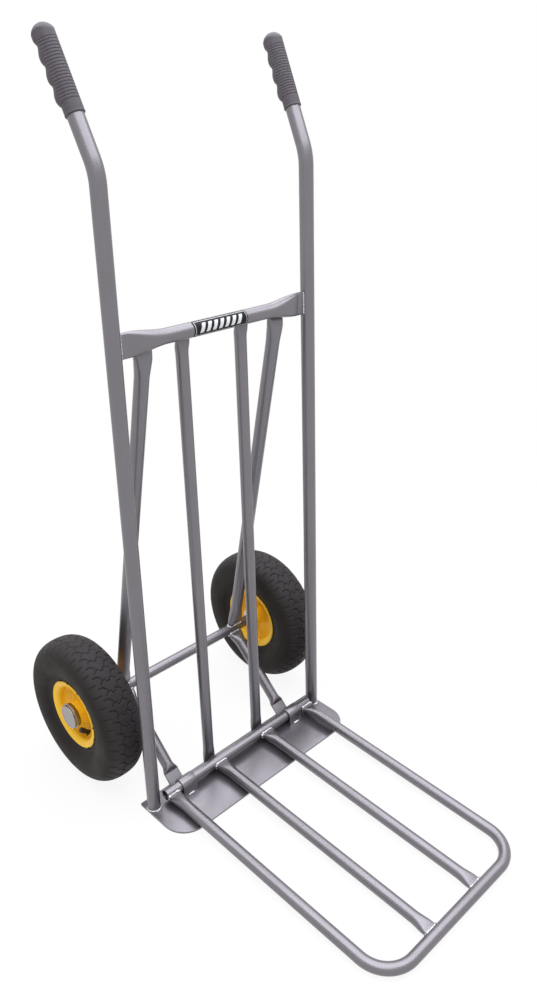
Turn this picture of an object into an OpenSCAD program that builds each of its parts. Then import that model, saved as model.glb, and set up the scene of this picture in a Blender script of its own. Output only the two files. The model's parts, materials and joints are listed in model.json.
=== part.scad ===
// Folding-toe sack truck: welded tube frame, steel toe plate, hinged toe
// extension and two pneumatic wheels. Millimetres, Z up, X to the right,
// Y towards the wheels. The truck stands upright on the floor at Z = 0, and
// the origin is under the middle of its footprint.

/* [Frame] */
// Half spacing of the rails at the toe plate
rail_foot_x = 193; // [180:1:230]
// Half spacing of the rails where the handles bend back
rail_top_x = 181.5; // [175:0.5:228]
// Length of a rail from the toe plate to the handle bend
rail_len = 997; // [880:1:1200]
// Backward lean of the rails, in degrees
rail_lean = 1.73; // [0:0.01:4]
// Diameter of the rails and of the crossbar
rail_d = 22; // [20:0.5:32]
// Wall of the frame tubes
tube_wall = 1.5; // [1:0.1:2.5]
// Backward bend of the handles, in degrees
handle_bend = 25; // [15:1:40]
// Outward turn of the handle bends about the rails, in degrees
handle_turn = 7; // [0:0.5:15]
// Centreline radius of the handle bend
handle_bend_r = 75; // [50:1:120]
// Length of a handle from the bend to the end of its grip
handle_len = 177.5; // [150:0.5:240]
// Distance of the crossbar up the rails
crossbar_along = 782; // [650:1:860]
// Distance of the crossbar's axis behind the rails' axes
crossbar_back = 1.5; // [0:0.5:8]
// Height of the crossbar's flattened ends
crossbar_flat_h = 36; // [30:1:45]

/* [Slats and braces] */
// Diameter of the slats
slat_d = 19; // [16:0.5:22]
// Half spacing of the slats at the top
slat_top_x = 56.5; // [40:0.5:75]
// Half spacing of the slats at the toe plate
slat_foot_x = 58; // [40:0.5:75]
// Diameter of the rear braces
brace_d = 22; // [19:0.5:25]
// Half spacing of the rear braces at the crossbar
brace_top_x = 127; // [110:0.5:135]
// Half spacing of the rear braces at the axle
brace_foot_x = 134; // [110:0.5:140]
// Diameter of the lower braces
strut_d = 20; // [16:0.5:22]
// Half spacing of the lower braces
strut_x = 130; // [110:0.5:140]

/* [Toe plate and hinge] */
// Half width of the toe plate
plate_half_w = 205.5; // [193:0.5:245]
// Reach of the toe plate in front of the rails
plate_front = 88.5; // [70:0.5:130]
// Reach of the toe plate behind the rails
plate_rear = 22; // [20:0.5:30]
// Thickness of the toe plate
plate_t = 4; // [3:0.5:6]
// Radius of the toe plate's front corners
plate_corner_r = 43; // [20:1:60]
// Height of the hinge axis over the floor
pivot_z = 19.5; // [17:0.5:26]
// Distance of the hinge axis in front of the rails
pivot_front = 6.5; // [5:0.5:12]
// Half length of the hinge tube
pivot_half_l = 173; // [168:0.5:176]
// Half spacing of the hinge straps
strap_x = 128.5; // [115:0.5:135]
// Width of a hinge strap
strap_w = 29; // [20:1:34]
// Thickness of a hinge strap
strap_t = 3; // [2:0.5:4]

/* [Toe extension] */
// Diameter of the extension's tubes
ext_d = 19; // [16:0.5:20]
// Reach of the extension from its hinge axis to its front tube
ext_len = 468; // [380:1:500]
// Half spacing of the extension's outer arms
arm_x = 161.5; // [150:0.5:164]
// Half spacing of the extension's inner bars
inner_bar_x = 56; // [40:0.5:75]
// Centreline radius of the extension's corners
ext_corner_r = 52; // [40:0.5:80]

/* [Wheels] */
// Outside diameter of a tyre
tyre_d = 260; // [220:1:300]
// Width of a tyre
tyre_w = 76.5; // [66:0.5:80]
// Half spacing of the wheels' centre planes
wheel_x = 208; // [205:0.5:240]
// Distance of the axle behind the rails
axle_back = 157.5; // [155:0.5:190]
// Diameter of the axle rod
axle_d = 16; // [14:0.5:17]
// Outside diameter of the axle tube
axle_tube_d = 19; // [18:0.5:22]
// Outside diameter of a rim's flanges
rim_d = 124.5; // [118:0.5:130]
// Distance of a rim's flanges from the wheel's centre plane
rim_flange_u = 26.5; // [24:0.5:30]
// Half length of a wheel hub
hub_half_l = 29.5; // [27:0.5:33]
// Outside diameter of a wheel hub
hub_d = 40; // [38:0.5:44]
// Outside diameter of a wheel bearing
bearing_d = 35; // [33:0.5:36]
// Width of a wheel bearing
bearing_w = 11; // [9:0.5:12]
// Number of balls in a wheel bearing
ball_count = 8; // [6:1:9]

/* [Grips and label] */
// Length of a grip
grip_len = 109; // [90:0.5:130]
// Wall of a grip round its tube, at the front and in the collar
grip_wall = 1.6; // [1.4:0.05:4]
// How much larger the radius of a grip's finger side is
finger_side_extra = 1.4; // [0.5:0.1:3]
// Distance of the finger side's centre from the handle's axis
finger_side_off = 3.6; // [2:0.1:7]
// Depth of the finger hollows in a grip
finger_depth = 3; // [0.5:0.1:4]
// Length of the blank label on the crossbar
label_w = 101; // [60:1:120]

/* [Fits] */
// Root gap at every welded joint
weld_gap = 0.15; // [0.1:0.05:0.3]
// Radial clearance of the hinge tube in its straps
hinge_clear = 0.08; // [0.05:0.01:0.1]
// Radial clearance of a sliding or pressed fit
fit_clear = 0.04; // [0.02:0.01:0.05]
// Gap between pieces that turn against each other
run_gap = 0.3; // [0.3:0.05:0.5]

/* [Hidden] */
$fn = 48;
HULL_FN = 28;
// A flattened end starts from a slice this thick, this much outside the tube
SLICE = 1;
SEAM = 0.03;
// Cutting shapes reach this far past the faces they cut
PAST = 1;
STEEL = "#8d898d";
BRIGHT_STEEL = "#c9c9ce";
YELLOW = "#f2c33a";
BLACK = "#2e2c2b";
GRIP_GREY = "#5f5a63";

SIDES = ["left", "right"];
FRAME_PAIRS = ["rail", "slat", "rear_brace", "lower_brace", "hinge_strap", "grip",
    "inner_washer", "outer_washer", "axle_clip", "inner_races"];
WHEEL_PAIRS = ["tyre", "inner_tube", "rim_outer_half", "rim_inner_half", "hub",
    "outer_races", "bearing_balls", "valve_stem", "valve_cap", "hub_cap"];

LEFT = -1;
RIGHT = 1;

// Footprint, and the place of the rails' feet in it
tyre_r = tyre_d / 2;
footprint_front = pivot_front + ext_len + ext_d / 2;
footprint_rear = axle_back + tyre_r;
rail_y = (footprint_front - footprint_rear) / 2;

// Rails and handles
rail_r = rail_d / 2;
rail_splay = atan((rail_top_x - rail_foot_x) / rail_len);
bend_tangent = handle_bend_r * tan(handle_bend / 2);
rail_straight = rail_len - bend_tangent;
grip_end_wall = 13;
grip_end_gap = 0.2;
grip_start = handle_len - bend_tangent - grip_len;
handle_straight = handle_len - bend_tangent - grip_end_wall;
// Shallow band that the bending die leaves round the end of the bend
bend_band_t = 0.05;
bend_band_l = 1;

// Crossbar: its axis crosses the rails at this height and depth
crossbar_z = plate_t + crossbar_along * cos(rail_lean);
crossbar_y = crossbar_along * sin(rail_lean) + crossbar_back;
crossbar_end_x = rail_foot_x + crossbar_along * (rail_top_x - rail_foot_x) / rail_len;
crossbar_flat_t = 8;
crossbar_flat_l = 12;
crossbar_flare_l = 62;

// Where flattened tube ends lie against the back of the crossbar
pad_t = 5;
pad_y = crossbar_y + rail_r + weld_gap + pad_t / 2;
pad_z = crossbar_z - rail_r - 4;
pad_top_z = crossbar_z + 5;
pad_foot_h = 6;

// Slats
slat_r = slat_d / 2;
slat_foot_y = 15;
slat_top_y = pad_y + 3;
slat_flare_w = 24;
slat_top_blend = 16;
slat_foot_blend = 34;

// Flattened tube ends that are cut to fit round the axle tube
axle_pad_t = 8;

// Rear braces
brace_r = brace_d / 2;
brace_flare_w = 31;
brace_blend = 40;
brace_knee_z = pad_z - 16;
brace_pad_l = 4;

// Lower braces
strut_r = strut_d / 2;
strut_flare_w = 29;
strut_foot_t = 4;
strut_foot_l = 20;
strut_foot_y = 18;
strut_blend = 26;
strut_pad_l = 2;

// Axle: measures along X from a wheel's centre plane are outward
axle_r = axle_d / 2;
axle_z = tyre_r;
axle_tube_r = axle_tube_d / 2;
washer_t = 1.5;
inner_washer_d = 26;
outer_washer_d = 27;
clip_t = 1;
clip_d = 23;
clip_groove_depth = 0.8;
clip_slot = 5;
// Gap between pieces stacked along the axle, and from a clip to its groove
stack_gap = 0.1;
outer_washer_u = hub_half_l + run_gap;
clip_u = outer_washer_u + washer_t + stack_gap;
rod_end_u = clip_u + clip_t + 1.5;
inner_washer_u = -hub_half_l - run_gap - washer_t;
axle_tube_half_l = wheel_x + inner_washer_u - stack_gap;

// Wheel bearings
bearing_r = bearing_d / 2;
race_t = 3;
ball_pitch_r = (axle_r + bearing_r) / 2;
ball_r = 3;
ball_clear = 0.05;
hub_r = hub_d / 2;
hub_bore_r = bearing_r - 3.5;
bearing_us = [hub_half_l - bearing_w, -hub_half_l];

// Rims: two pressed halves, back to back at the centre plane
rim_t = 1.5;
rim_r = rim_d / 2;
rim_seat_r = rim_r - 12;
rim_dish_r = rim_seat_r - 9;
rim_dish_u = 12;
rim_seat_u = rim_flange_u - 2.5;

// Tyres
tyre_bead_r = rim_seat_r + 0.1;
tyre_mid_r = (tyre_r + rim_r) / 2 + 1;
tyre_half_h = tyre_r - tyre_mid_r;
tyre_half_w = tyre_w / 2;
tyre_carcass = 5;
tyre_power = 2 / 2.4;
tyre_lip_angle = 42;
tube_gap = 0.3;
tube_rubber = 2;
ARC_STEPS = 22;

// Valves
valve_r = 4.5;
// Turn of the valve from the top of the wheel, towards the front
valve_turn = 165;
valve_elbow_r = rim_dish_r + 3.5;
valve_elbow_u = 7.5;
valve_tip_r = 32;
valve_tip_u = 22;
valve_len = norm([valve_tip_r - valve_elbow_r, valve_tip_u - valve_elbow_u]);
valve_cap_l = 8;
valve_cap_r = 5;

// Hub caps
cap_t = 1;
cap_end_gap = 0.4;
cap_r = hub_r + fit_clear + cap_t;
cap_front_u = rod_end_u + cap_end_gap + cap_t;
cap_skirt_u = hub_half_l - 4;
cap_brim_r = cap_r + 2;

// Toe extension
ext_r = ext_d / 2;
ext_drop = asin((pivot_z - ext_r - 0.1) / ext_len);
arm_pad_l = 8;
arm_pad_t = 7;
arm_pad_over = 2;
arm_flare_w = 25;
arm_blend = 30;
bar_flare_w = 25;
bar_flat_t = 9;
bar_blend = 30;

// Grips
grip_r = rail_r + grip_wall;
grip_collar_l = 13;
finger_side_r = grip_r + finger_side_extra;
// Round end of a grip, about the middle of its front and finger sides
grip_dome_off = (finger_side_r + finger_side_off - grip_r) / 2;
grip_dome_r = (finger_side_r + finger_side_off + grip_r) / 2 + 0.6;
finger_count = 3;
finger_r = 17;

// Label
label_t = 0.6;
label_h = 21;
// The label faces a little upwards, and sits to the left of the middle
label_turn = 14;
label_x = -3;

// Moves a piece from the rails' foot frame to the footprint's frame
module placed() {
    translate([0, rail_y, 0]) children();
}

// Draws a right-hand piece, or its mirror image on the left
module on_side(side) {
    placed() mirror([side == LEFT ? 1 : 0, 0, 0]) children();
}

// Lays the children's Z axis along the line from a to b, starting at a
module along(a, b) {
    d = b - a;
    translate(a) rotate([-asin(d.y / norm(d)), atan2(d.x, d.z), 0]) children();
}

// Ring or sleeve along Z
module ring(inner_r, outer_r, len) {
    difference() {
        cylinder(r = outer_r, h = len);
        translate([0, 0, -PAST]) cylinder(r = inner_r, h = len + 2 * PAST);
    }
}

// Open tube along Z
module pipe(r, len) {
    ring(r - tube_wall, r, len);
}

// Tube along Z that its flattened ends close
module closed_pipe(r, len) {
    difference() {
        cylinder(r = r, h = len);
        translate([0, 0, tube_wall]) cylinder(r = r - tube_wall, h = len - 2 * tube_wall);
    }
}

// Bent tube in the XY plane, about the origin, from the X axis
module pipe_bend(r, bend_r, angle) {
    rotate_extrude(angle = angle) translate([bend_r, 0]) difference() {
        circle(r = r);
        circle(r = r - tube_wall);
    }
}

// The last slice of a tube that ends at z = 0, where its flattening starts
module last_slice(r) {
    translate([0, 0, -SLICE]) cylinder(r = r / cos(180 / HULL_FN) + SEAM, h = SLICE, $fn = HULL_FN);
}

// A flattened tube end: the tube is round up to z = 0, and is pressed into
// a w by t pad that starts at z = blend and is len long
module flattened_end(r, w, t, blend, len) {
    hull() {
        last_slice(r);
        translate([-w / 2, -t / 2, blend]) cube([w, t, len]);
    }
}

// Rails

// Lays the children out past the bend, with Z up the handle from the bend
module past_bend() {
    translate([0, handle_bend_r, rail_straight]) rotate([-handle_bend, 0, 0])
        translate([0, -handle_bend_r, 0]) children();
}

// A rail and its handle; the foot reaches down by over, to be cut level
module rail_tube(over) {
    translate([0, 0, -over]) pipe(rail_r, rail_straight + over);
    translate([0, handle_bend_r, rail_straight]) rotate([0, -90, 0]) rotate([0, 0, -90])
        pipe_bend(rail_r, handle_bend_r, handle_bend);
    past_bend() {
        translate([0, 0, bend_band_l / 4]) pipe(rail_r, handle_straight - bend_band_l / 4);
        translate([0, 0, -bend_band_l / 2])
            ring(rail_r - tube_wall - bend_band_t, rail_r + bend_band_t, bend_band_l);
    }
}

// Lays the children out along a rail, with Z up it from the toe plate
module on_rail() {
    translate([rail_foot_x, 0, plate_t]) rotate([-rail_lean, rail_splay, 0]) children();
}

module rail(side) {
    foot_cut = 30;
    foot_over = 2;
    color(STEEL) on_side(side) difference() {
        on_rail() rotate([0, 0, -handle_turn]) rail_tube(foot_over);
        translate([rail_foot_x - foot_cut, -foot_cut, plate_t + weld_gap - 2 * foot_cut])
            cube(2 * foot_cut);
    }
}

// Crossbar

module crossbar() {
    tube_half = crossbar_end_x - rail_r - crossbar_flat_l - crossbar_flare_l;
    color(STEEL) placed() difference() {
        translate([0, crossbar_y, crossbar_z]) {
            translate([-tube_half, 0, 0]) rotate([0, 90, 0]) closed_pipe(rail_r, 2 * tube_half);
            for (turn = [0, 180]) rotate([0, 0, turn]) translate([tube_half, 0, 0]) rotate([90, 0, 90])
                flattened_end(rail_r, crossbar_flat_t, crossbar_flat_h, crossbar_flare_l,
                    crossbar_flat_l + rail_r);
        }
        for (side = [LEFT, RIGHT]) mirror([side == LEFT ? 1 : 0, 0, 0])
            on_rail() translate([0, 0, crossbar_along - crossbar_flat_h])
                cylinder(r = rail_r + weld_gap, h = 2 * crossbar_flat_h);
    }
}

module front_label() {
    color(BLACK) placed() translate([label_x - label_w / 2, crossbar_y, crossbar_z])
        rotate([-label_turn, 0, 0]) intersection() {
            rotate([0, 90, 0]) difference() {
                cylinder(r = rail_r + fit_clear + label_t, h = label_w);
                translate([0, 0, -PAST]) cylinder(r = rail_r + fit_clear, h = label_w + 2 * PAST);
            }
            translate([0, -2 * rail_r, -label_h / 2]) cube([label_w, 2 * rail_r, label_h]);
        }
}

// Slats

// Flattened top of a slat or a brace, against the back of the crossbar
module crossbar_pad(x, w, h) {
    translate([x - w / 2, pad_y - pad_t / 2, pad_z]) cube([w, pad_t, h]);
}

module slat(side) {
    foot = [slat_foot_x, slat_foot_y, plate_t + weld_gap];
    top = [slat_top_x, slat_top_y, pad_z - slat_top_blend];
    reach = norm(top - foot);
    foot_end = slat_foot_blend + pad_foot_h;
    color(STEEL) on_side(side) {
        along(foot, top) translate([0, 0, foot_end]) closed_pipe(slat_r, reach - foot_end);
        hull() {
            along(foot, top) translate([0, 0, reach]) last_slice(slat_r);
            crossbar_pad(top.x, slat_flare_w, SLICE);
        }
        crossbar_pad(top.x, slat_flare_w, pad_top_z - pad_z);
        hull() {
            along(foot, top) translate([0, 0, foot_end + SLICE]) last_slice(slat_r);
            translate([foot.x - slat_flare_w / 2, foot.y - pad_t / 2, foot.z])
                cube([slat_flare_w, pad_t, pad_foot_h]);
        }
    }
}

// Rear braces

module rear_brace(side) {
    axle_point = [brace_foot_x, axle_back, axle_z];
    knee = [brace_top_x, pad_y, brace_knee_z];
    reach = norm(knee - axle_point);
    foot_end = axle_tube_r + brace_blend + brace_pad_l;
    color(STEEL) on_side(side) {
        difference() {
            along(axle_point, knee) translate([0, 0, foot_end]) {
                closed_pipe(brace_r, reach - foot_end);
                mirror([0, 0, 1]) flattened_end(brace_r, brace_flare_w, axle_pad_t, brace_blend, axle_tube_r);
            }
            translate([0, axle_back, axle_z]) rotate([0, 90, 0])
                cylinder(r = axle_tube_r + weld_gap, h = axle_tube_half_l);
        }
        hull() {
            along(axle_point, knee) translate([0, 0, reach]) last_slice(brace_r);
            crossbar_pad(brace_top_x, brace_flare_w, SLICE);
        }
        crossbar_pad(brace_top_x, brace_flare_w, pad_top_z - pad_z);
    }
}

// Lower braces, from under the axle down to the back of the toe plate

module lower_brace(side) {
    axle_point = [strut_x, axle_back, axle_z];
    foot = [strut_x, strut_foot_y, plate_t];
    reach = norm(axle_point - foot);
    top_end = axle_tube_r + strut_blend + strut_pad_l;
    foot_end = strut_foot_l + strut_blend / 2;
    color(STEEL) on_side(side) difference() {
        along(foot, axle_point) {
            translate([0, 0, foot_end]) closed_pipe(strut_r, reach - top_end - foot_end);
            translate([0, 0, foot_end]) mirror([0, 0, 1])
                flattened_end(strut_r, strut_flare_w, strut_foot_t, strut_blend / 2, SLICE);
            translate([-strut_flare_w / 2, -strut_foot_t / 2, -strut_foot_l / 4])
                cube([strut_flare_w, strut_foot_t, strut_foot_l * 1.25]);
            translate([0, 0, reach - top_end])
                flattened_end(strut_r, strut_flare_w, axle_pad_t, strut_blend, axle_tube_r);
        }
        translate([0, axle_back, axle_z]) rotate([0, 90, 0])
            cylinder(r = axle_tube_r + weld_gap, h = axle_tube_half_l);
        translate([0, -strut_foot_l, plate_t + weld_gap - 2 * strut_foot_l])
            cube([axle_tube_half_l, 4 * strut_foot_l, 2 * strut_foot_l]);
    }
}

// Toe plate and hinge straps

module toe_plate() {
    w = 2 * plate_half_w;
    color(STEEL) placed() linear_extrude(plate_t) {
        translate([-plate_half_w, plate_corner_r - plate_front])
            square([w, plate_front + plate_rear - plate_corner_r]);
        translate([plate_corner_r - plate_half_w, -plate_front])
            square([w - 2 * plate_corner_r, plate_front]);
        for (x = [plate_corner_r - plate_half_w, plate_half_w - plate_corner_r])
            translate([x, plate_corner_r - plate_front]) circle(r = plate_corner_r);
    }
}

module hinge_strap(side) {
    bore_r = ext_r + hinge_clear;
    outer_r = bore_r + strap_t;
    leg_h = pivot_z - plate_t - weld_gap;
    cut_w = strap_w + 2 * PAST;
    color(STEEL) on_side(side)
        translate([strap_x - strap_w / 2, -pivot_front, pivot_z]) difference() {
            union() {
                rotate([0, 90, 0]) cylinder(r = outer_r, h = strap_w);
                translate([0, -outer_r, -leg_h]) cube([strap_w, 2 * outer_r, leg_h]);
            }
            translate([-PAST, 0, 0]) {
                rotate([0, 90, 0]) cylinder(r = bore_r, h = cut_w);
                translate([0, -bore_r, -leg_h - PAST]) cube([cut_w, 2 * bore_r, leg_h + PAST]);
                translate([0, -2 * outer_r, -2 * outer_r - leg_h])
                    cube([cut_w, 4 * outer_r, 2 * outer_r]);
            }
        }
}

// Grips

// Solid shape of a grip, with its finger side towards Y
module grip_body() {
    dome_z = grip_len - grip_dome_r;
    intersection() {
        union() {
            cylinder(r = grip_r, h = grip_len);
            translate([0, finger_side_off, grip_collar_l])
                cylinder(r = finger_side_r, h = grip_len - grip_collar_l);
        }
        translate([0, grip_dome_off, 0]) {
            cylinder(r = 2 * grip_dome_r, h = dome_z);
            translate([0, 0, dome_z]) sphere(r = grip_dome_r);
        }
    }
}

module grip(side) {
    finger_pitch = (grip_len - grip_collar_l) / (finger_count + 1);
    color(GRIP_GREY) on_side(side) on_rail() rotate([0, 0, -handle_turn]) past_bend()
        translate([0, 0, grip_start]) difference() {
            grip_body();
            translate([0, 0, -PAST])
                cylinder(r = rail_r + fit_clear, h = grip_len - grip_end_wall + grip_end_gap + PAST);
            for (i = [0 : finger_count - 1])
                translate([-2 * grip_r, finger_side_off + finger_side_r - finger_depth + finger_r,
                    grip_collar_l + finger_pitch * (i + 0.6)])
                    rotate([0, 90, 0]) cylinder(r = finger_r, h = 4 * grip_r);
        }
}

// Toe extension

// Lays the children out in the extension's plane: Y points from the hinge
// axis to the front, and Z is up
module on_extension() {
    placed() translate([0, -pivot_front, pivot_z]) rotate([-ext_drop, 0, 180]) children();
}

module extension_pivot_tube() {
    color(STEEL) placed() translate([-pivot_half_l, -pivot_front, pivot_z]) rotate([0, 90, 0])
        pipe(ext_r, 2 * pivot_half_l);
}

// The hoop's round part, whose arms start this far from the hinge axis
module hoop_tube(start) {
    corner_y = ext_len - ext_corner_r;
    corner_x = arm_x - ext_corner_r;
    translate([-corner_x, ext_len, 0]) rotate([0, 90, 0]) pipe(ext_r, 2 * corner_x);
    for (turn = [0, 1]) mirror([turn, 0, 0]) {
        translate([corner_x, corner_y, 0]) pipe_bend(ext_r, ext_corner_r, 90);
        translate([arm_x, start, 0]) rotate([-90, 0, 0]) pipe(ext_r, corner_y - start);
    }
}

module extension_hoop() {
    start = ext_r + arm_blend;
    color(STEEL) on_extension() difference() {
        union() {
            hoop_tube(start);
            for (x = [-arm_x, arm_x]) translate([x, start + SLICE, 0]) rotate([90, 0, 0]) {
                translate([0, 0, -SLICE]) cylinder(r = ext_r, h = SLICE);
                flattened_end(ext_r, arm_flare_w, arm_pad_t, arm_blend - arm_pad_l / 2,
                    arm_pad_l + arm_pad_over);
            }
        }
        rotate([0, 90, 0]) translate([0, 0, -pivot_half_l - PAST])
            cylinder(r = ext_r + weld_gap, h = 2 * (pivot_half_l + PAST));
    }
}

module extension_bar(side) {
    start = ext_r + bar_blend;
    len = ext_len - 2 * start;
    color(STEEL) on_extension() mirror([side == LEFT ? 0 : 1, 0, 0]) difference() {
        translate([inner_bar_x, start, 0]) rotate([-90, 0, 0]) {
            closed_pipe(ext_r, len);
            mirror([0, 0, 1]) flattened_end(ext_r, bar_flare_w, bar_flat_t, bar_blend, ext_r / 2);
            translate([0, 0, len]) flattened_end(ext_r, bar_flare_w, bar_flat_t, bar_blend, ext_r / 2);
        }
        for (y = [0, ext_len]) translate([0, y, 0]) rotate([0, 90, 0])
            cylinder(r = ext_r + weld_gap, h = arm_x);
    }
}

// Axle

// Lays the children out about a wheel's axis, with Z outward from the
// wheel's centre plane and X up
module on_wheel(side) {
    on_side(side) translate([wheel_x, axle_back, axle_z]) rotate([0, 90, 0]) rotate([0, 0, 180])
        children();
}

module axle_tube() {
    color(STEEL) placed() translate([-axle_tube_half_l, axle_back, axle_z]) rotate([0, 90, 0])
        ring(axle_r + fit_clear, axle_tube_r, 2 * axle_tube_half_l);
}

module axle_rod() {
    half_l = wheel_x + rod_end_u;
    groove_w = clip_t + 2 * stack_gap;
    color(BRIGHT_STEEL) placed() translate([0, axle_back, axle_z]) rotate([0, 90, 0]) difference() {
        translate([0, 0, -half_l]) cylinder(r = axle_r, h = 2 * half_l);
        for (turn = [0, 180]) rotate([0, turn, 0]) translate([0, 0, wheel_x + clip_u - stack_gap])
            ring(axle_r - clip_groove_depth, axle_r + PAST, groove_w);
    }
}

module inner_washer(side) {
    color(BRIGHT_STEEL) on_wheel(side) translate([0, 0, inner_washer_u])
        ring(axle_r + fit_clear, inner_washer_d / 2, washer_t);
}

module outer_washer(side) {
    color(BRIGHT_STEEL) on_wheel(side) translate([0, 0, outer_washer_u])
        ring(axle_r + fit_clear, outer_washer_d / 2, washer_t);
}

module axle_clip(side) {
    color(BRIGHT_STEEL) on_wheel(side) translate([0, 0, clip_u]) difference() {
        ring(axle_r - clip_groove_depth + fit_clear, clip_d / 2, clip_t);
        translate([0, -clip_slot / 2, -PAST]) cube([clip_d, clip_slot, clip_t + 2 * PAST]);
    }
}

// Wheel bearings

// Torus that the balls run in, centred on the bearing's width
module ball_track() {
    translate([0, 0, bearing_w / 2]) rotate_extrude() translate([ball_pitch_r, 0])
        circle(r = ball_r + ball_clear);
}

module inner_races(side) {
    color(BRIGHT_STEEL) on_wheel(side) for (u = bearing_us) translate([0, 0, u]) difference() {
        ring(axle_r + fit_clear, axle_r + race_t, bearing_w);
        ball_track();
    }
}

module outer_races(side) {
    color(BRIGHT_STEEL) on_wheel(side) for (u = bearing_us) translate([0, 0, u]) difference() {
        ring(bearing_r - race_t, bearing_r, bearing_w);
        ball_track();
    }
}

module bearing_balls(side) {
    color(BRIGHT_STEEL) on_wheel(side) for (u = bearing_us) for (i = [0 : ball_count - 1])
        rotate([0, 0, i * 360 / ball_count]) translate([ball_pitch_r, 0, u + bearing_w / 2])
            sphere(r = ball_r);
}

// Hubs, rims and hub caps

module hub(side) {
    color(YELLOW) on_wheel(side) difference() {
        translate([0, 0, -hub_half_l]) cylinder(r = hub_r, h = 2 * hub_half_l);
        translate([0, 0, -hub_half_l - PAST])
            cylinder(r = hub_bore_r, h = 2 * (hub_half_l + PAST));
        for (u = bearing_us) translate([0, 0, u < 0 ? u - PAST : u])
            cylinder(r = bearing_r + fit_clear, h = bearing_w + PAST);
    }
}

// Half section of one pressed rim half, as [radius, outward distance]
function rim_inside() = [
    [hub_r + weld_gap, rim_t + weld_gap / 2],
    [rim_dish_r, rim_t + weld_gap / 2],
    [rim_seat_r - rim_t, rim_dish_u + rim_t],
    [rim_seat_r - rim_t, rim_seat_u + rim_t],
    [rim_r, rim_flange_u + rim_t]
];
function rim_outside() = [
    [rim_r, rim_flange_u],
    [rim_seat_r, rim_seat_u],
    [rim_seat_r, rim_dish_u],
    [rim_dish_r, weld_gap / 2],
    [hub_r + weld_gap, weld_gap / 2]
];

module rim_half() {
    rotate_extrude() polygon(concat(rim_inside(), rim_outside()));
}

// Places the children at the valve's side of a wheel, with X radial
module at_valve() {
    rotate([0, 0, valve_turn]) children();
}

module rim_outer_half(side) {
    color(YELLOW) on_wheel(side) difference() {
        rim_half();
        at_valve() translate([0, 0, valve_elbow_u]) rotate([0, 90, 0])
            cylinder(r = valve_r + run_gap, h = rim_r);
    }
}

module rim_inner_half(side) {
    color(YELLOW) on_wheel(side) mirror([0, 0, 1]) rim_half();
}

module hub_cap(side) {
    color(BRIGHT_STEEL) on_wheel(side) difference() {
        union() {
            translate([0, 0, cap_skirt_u]) cylinder(r = cap_r, h = cap_front_u - cap_skirt_u);
            translate([0, 0, cap_skirt_u]) cylinder(r = cap_brim_r, h = cap_t);
        }
        translate([0, 0, cap_skirt_u - PAST])
            cylinder(r = cap_r - cap_t, h = cap_front_u - cap_skirt_u - cap_t + PAST);
    }
}

// Tyres and inner tubes

// Point of a squared-off oval at angle a, as [radius, outward distance]
function oval(a, half_w, half_h) = [
    tyre_mid_r + half_h * sign(sin(a)) * pow(abs(sin(a)), tyre_power),
    half_w * sign(cos(a)) * pow(abs(cos(a)), tyre_power)
];

// Oval arc from angle a0 to a1
function oval_arc(a0, a1, half_w, half_h) = [
    for (i = [0 : ARC_STEPS]) oval(a0 + (a1 - a0) * i / ARC_STEPS, half_w, half_h)
];

module tyre(side) {
    bead_u = rim_seat_u - tube_gap;
    lip = [rim_r + tube_gap, rim_flange_u - tube_gap];
    toe_u = bead_u - tyre_carcass;
    color(BLACK) on_wheel(side) rotate_extrude() polygon(concat(
        [[tyre_bead_r, bead_u], lip],
        oval_arc(-tyre_lip_angle, 180 + tyre_lip_angle, tyre_half_w, tyre_half_h),
        [[lip.x, -lip.y], [tyre_bead_r, -bead_u], [tyre_bead_r, -toe_u]],
        oval_arc(180 + tyre_lip_angle, -tyre_lip_angle,
            tyre_half_w - tyre_carcass, tyre_half_h - tyre_carcass),
        [[tyre_bead_r, toe_u]]
    ));
}

module inner_tube(side) {
    half_w = tyre_half_w - tyre_carcass - tube_gap;
    half_h = tyre_half_h - tyre_carcass - tube_gap;
    color(BLACK) on_wheel(side) rotate_extrude() difference() {
        polygon(oval_arc(0, 360 - 360 / ARC_STEPS, half_w, half_h));
        polygon(oval_arc(0, 360 - 360 / ARC_STEPS, half_w - tube_rubber, half_h - tube_rubber));
    }
}

// Valves

module valve_line() {
    translate([valve_elbow_r, 0, valve_elbow_u])
        rotate([0, atan2(valve_tip_r - valve_elbow_r, valve_tip_u - valve_elbow_u), 0]) children();
}

module valve_stem(side) {
    color(BLACK) on_wheel(side) at_valve() {
        valve_line() cylinder(r = valve_r, h = valve_len - valve_cap_l);
        translate([valve_elbow_r, 0, valve_elbow_u]) sphere(r = valve_r);
        translate([valve_elbow_r, 0, valve_elbow_u]) rotate([0, 90, 0])
            cylinder(r = valve_r, h = rim_seat_r - valve_elbow_r);
    }
}

module valve_cap(side) {
    color(BLACK) on_wheel(side) at_valve() valve_line()
        translate([0, 0, valve_len - valve_cap_l + weld_gap]) cylinder(r = valve_cap_r, h = valve_cap_l);
}

crossbar();
front_label();
toe_plate();
axle_tube();
axle_rod();
extension_pivot_tube();
extension_hoop();
extension_bar(LEFT);  // left_extension_bar
extension_bar(RIGHT);  // right_extension_bar
rail(LEFT);  // left_rail
rail(RIGHT);  // right_rail
slat(LEFT);  // left_slat
slat(RIGHT);  // right_slat
rear_brace(LEFT);  // left_rear_brace
rear_brace(RIGHT);  // right_rear_brace
lower_brace(LEFT);  // left_lower_brace
lower_brace(RIGHT);  // right_lower_brace
hinge_strap(LEFT);  // left_hinge_strap
hinge_strap(RIGHT);  // right_hinge_strap
grip(LEFT);  // left_grip
grip(RIGHT);  // right_grip
inner_washer(LEFT);  // left_inner_washer
inner_washer(RIGHT);  // right_inner_washer
outer_washer(LEFT);  // left_outer_washer
outer_washer(RIGHT);  // right_outer_washer
axle_clip(LEFT);  // left_axle_clip
axle_clip(RIGHT);  // right_axle_clip
inner_races(LEFT);  // left_inner_races
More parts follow.
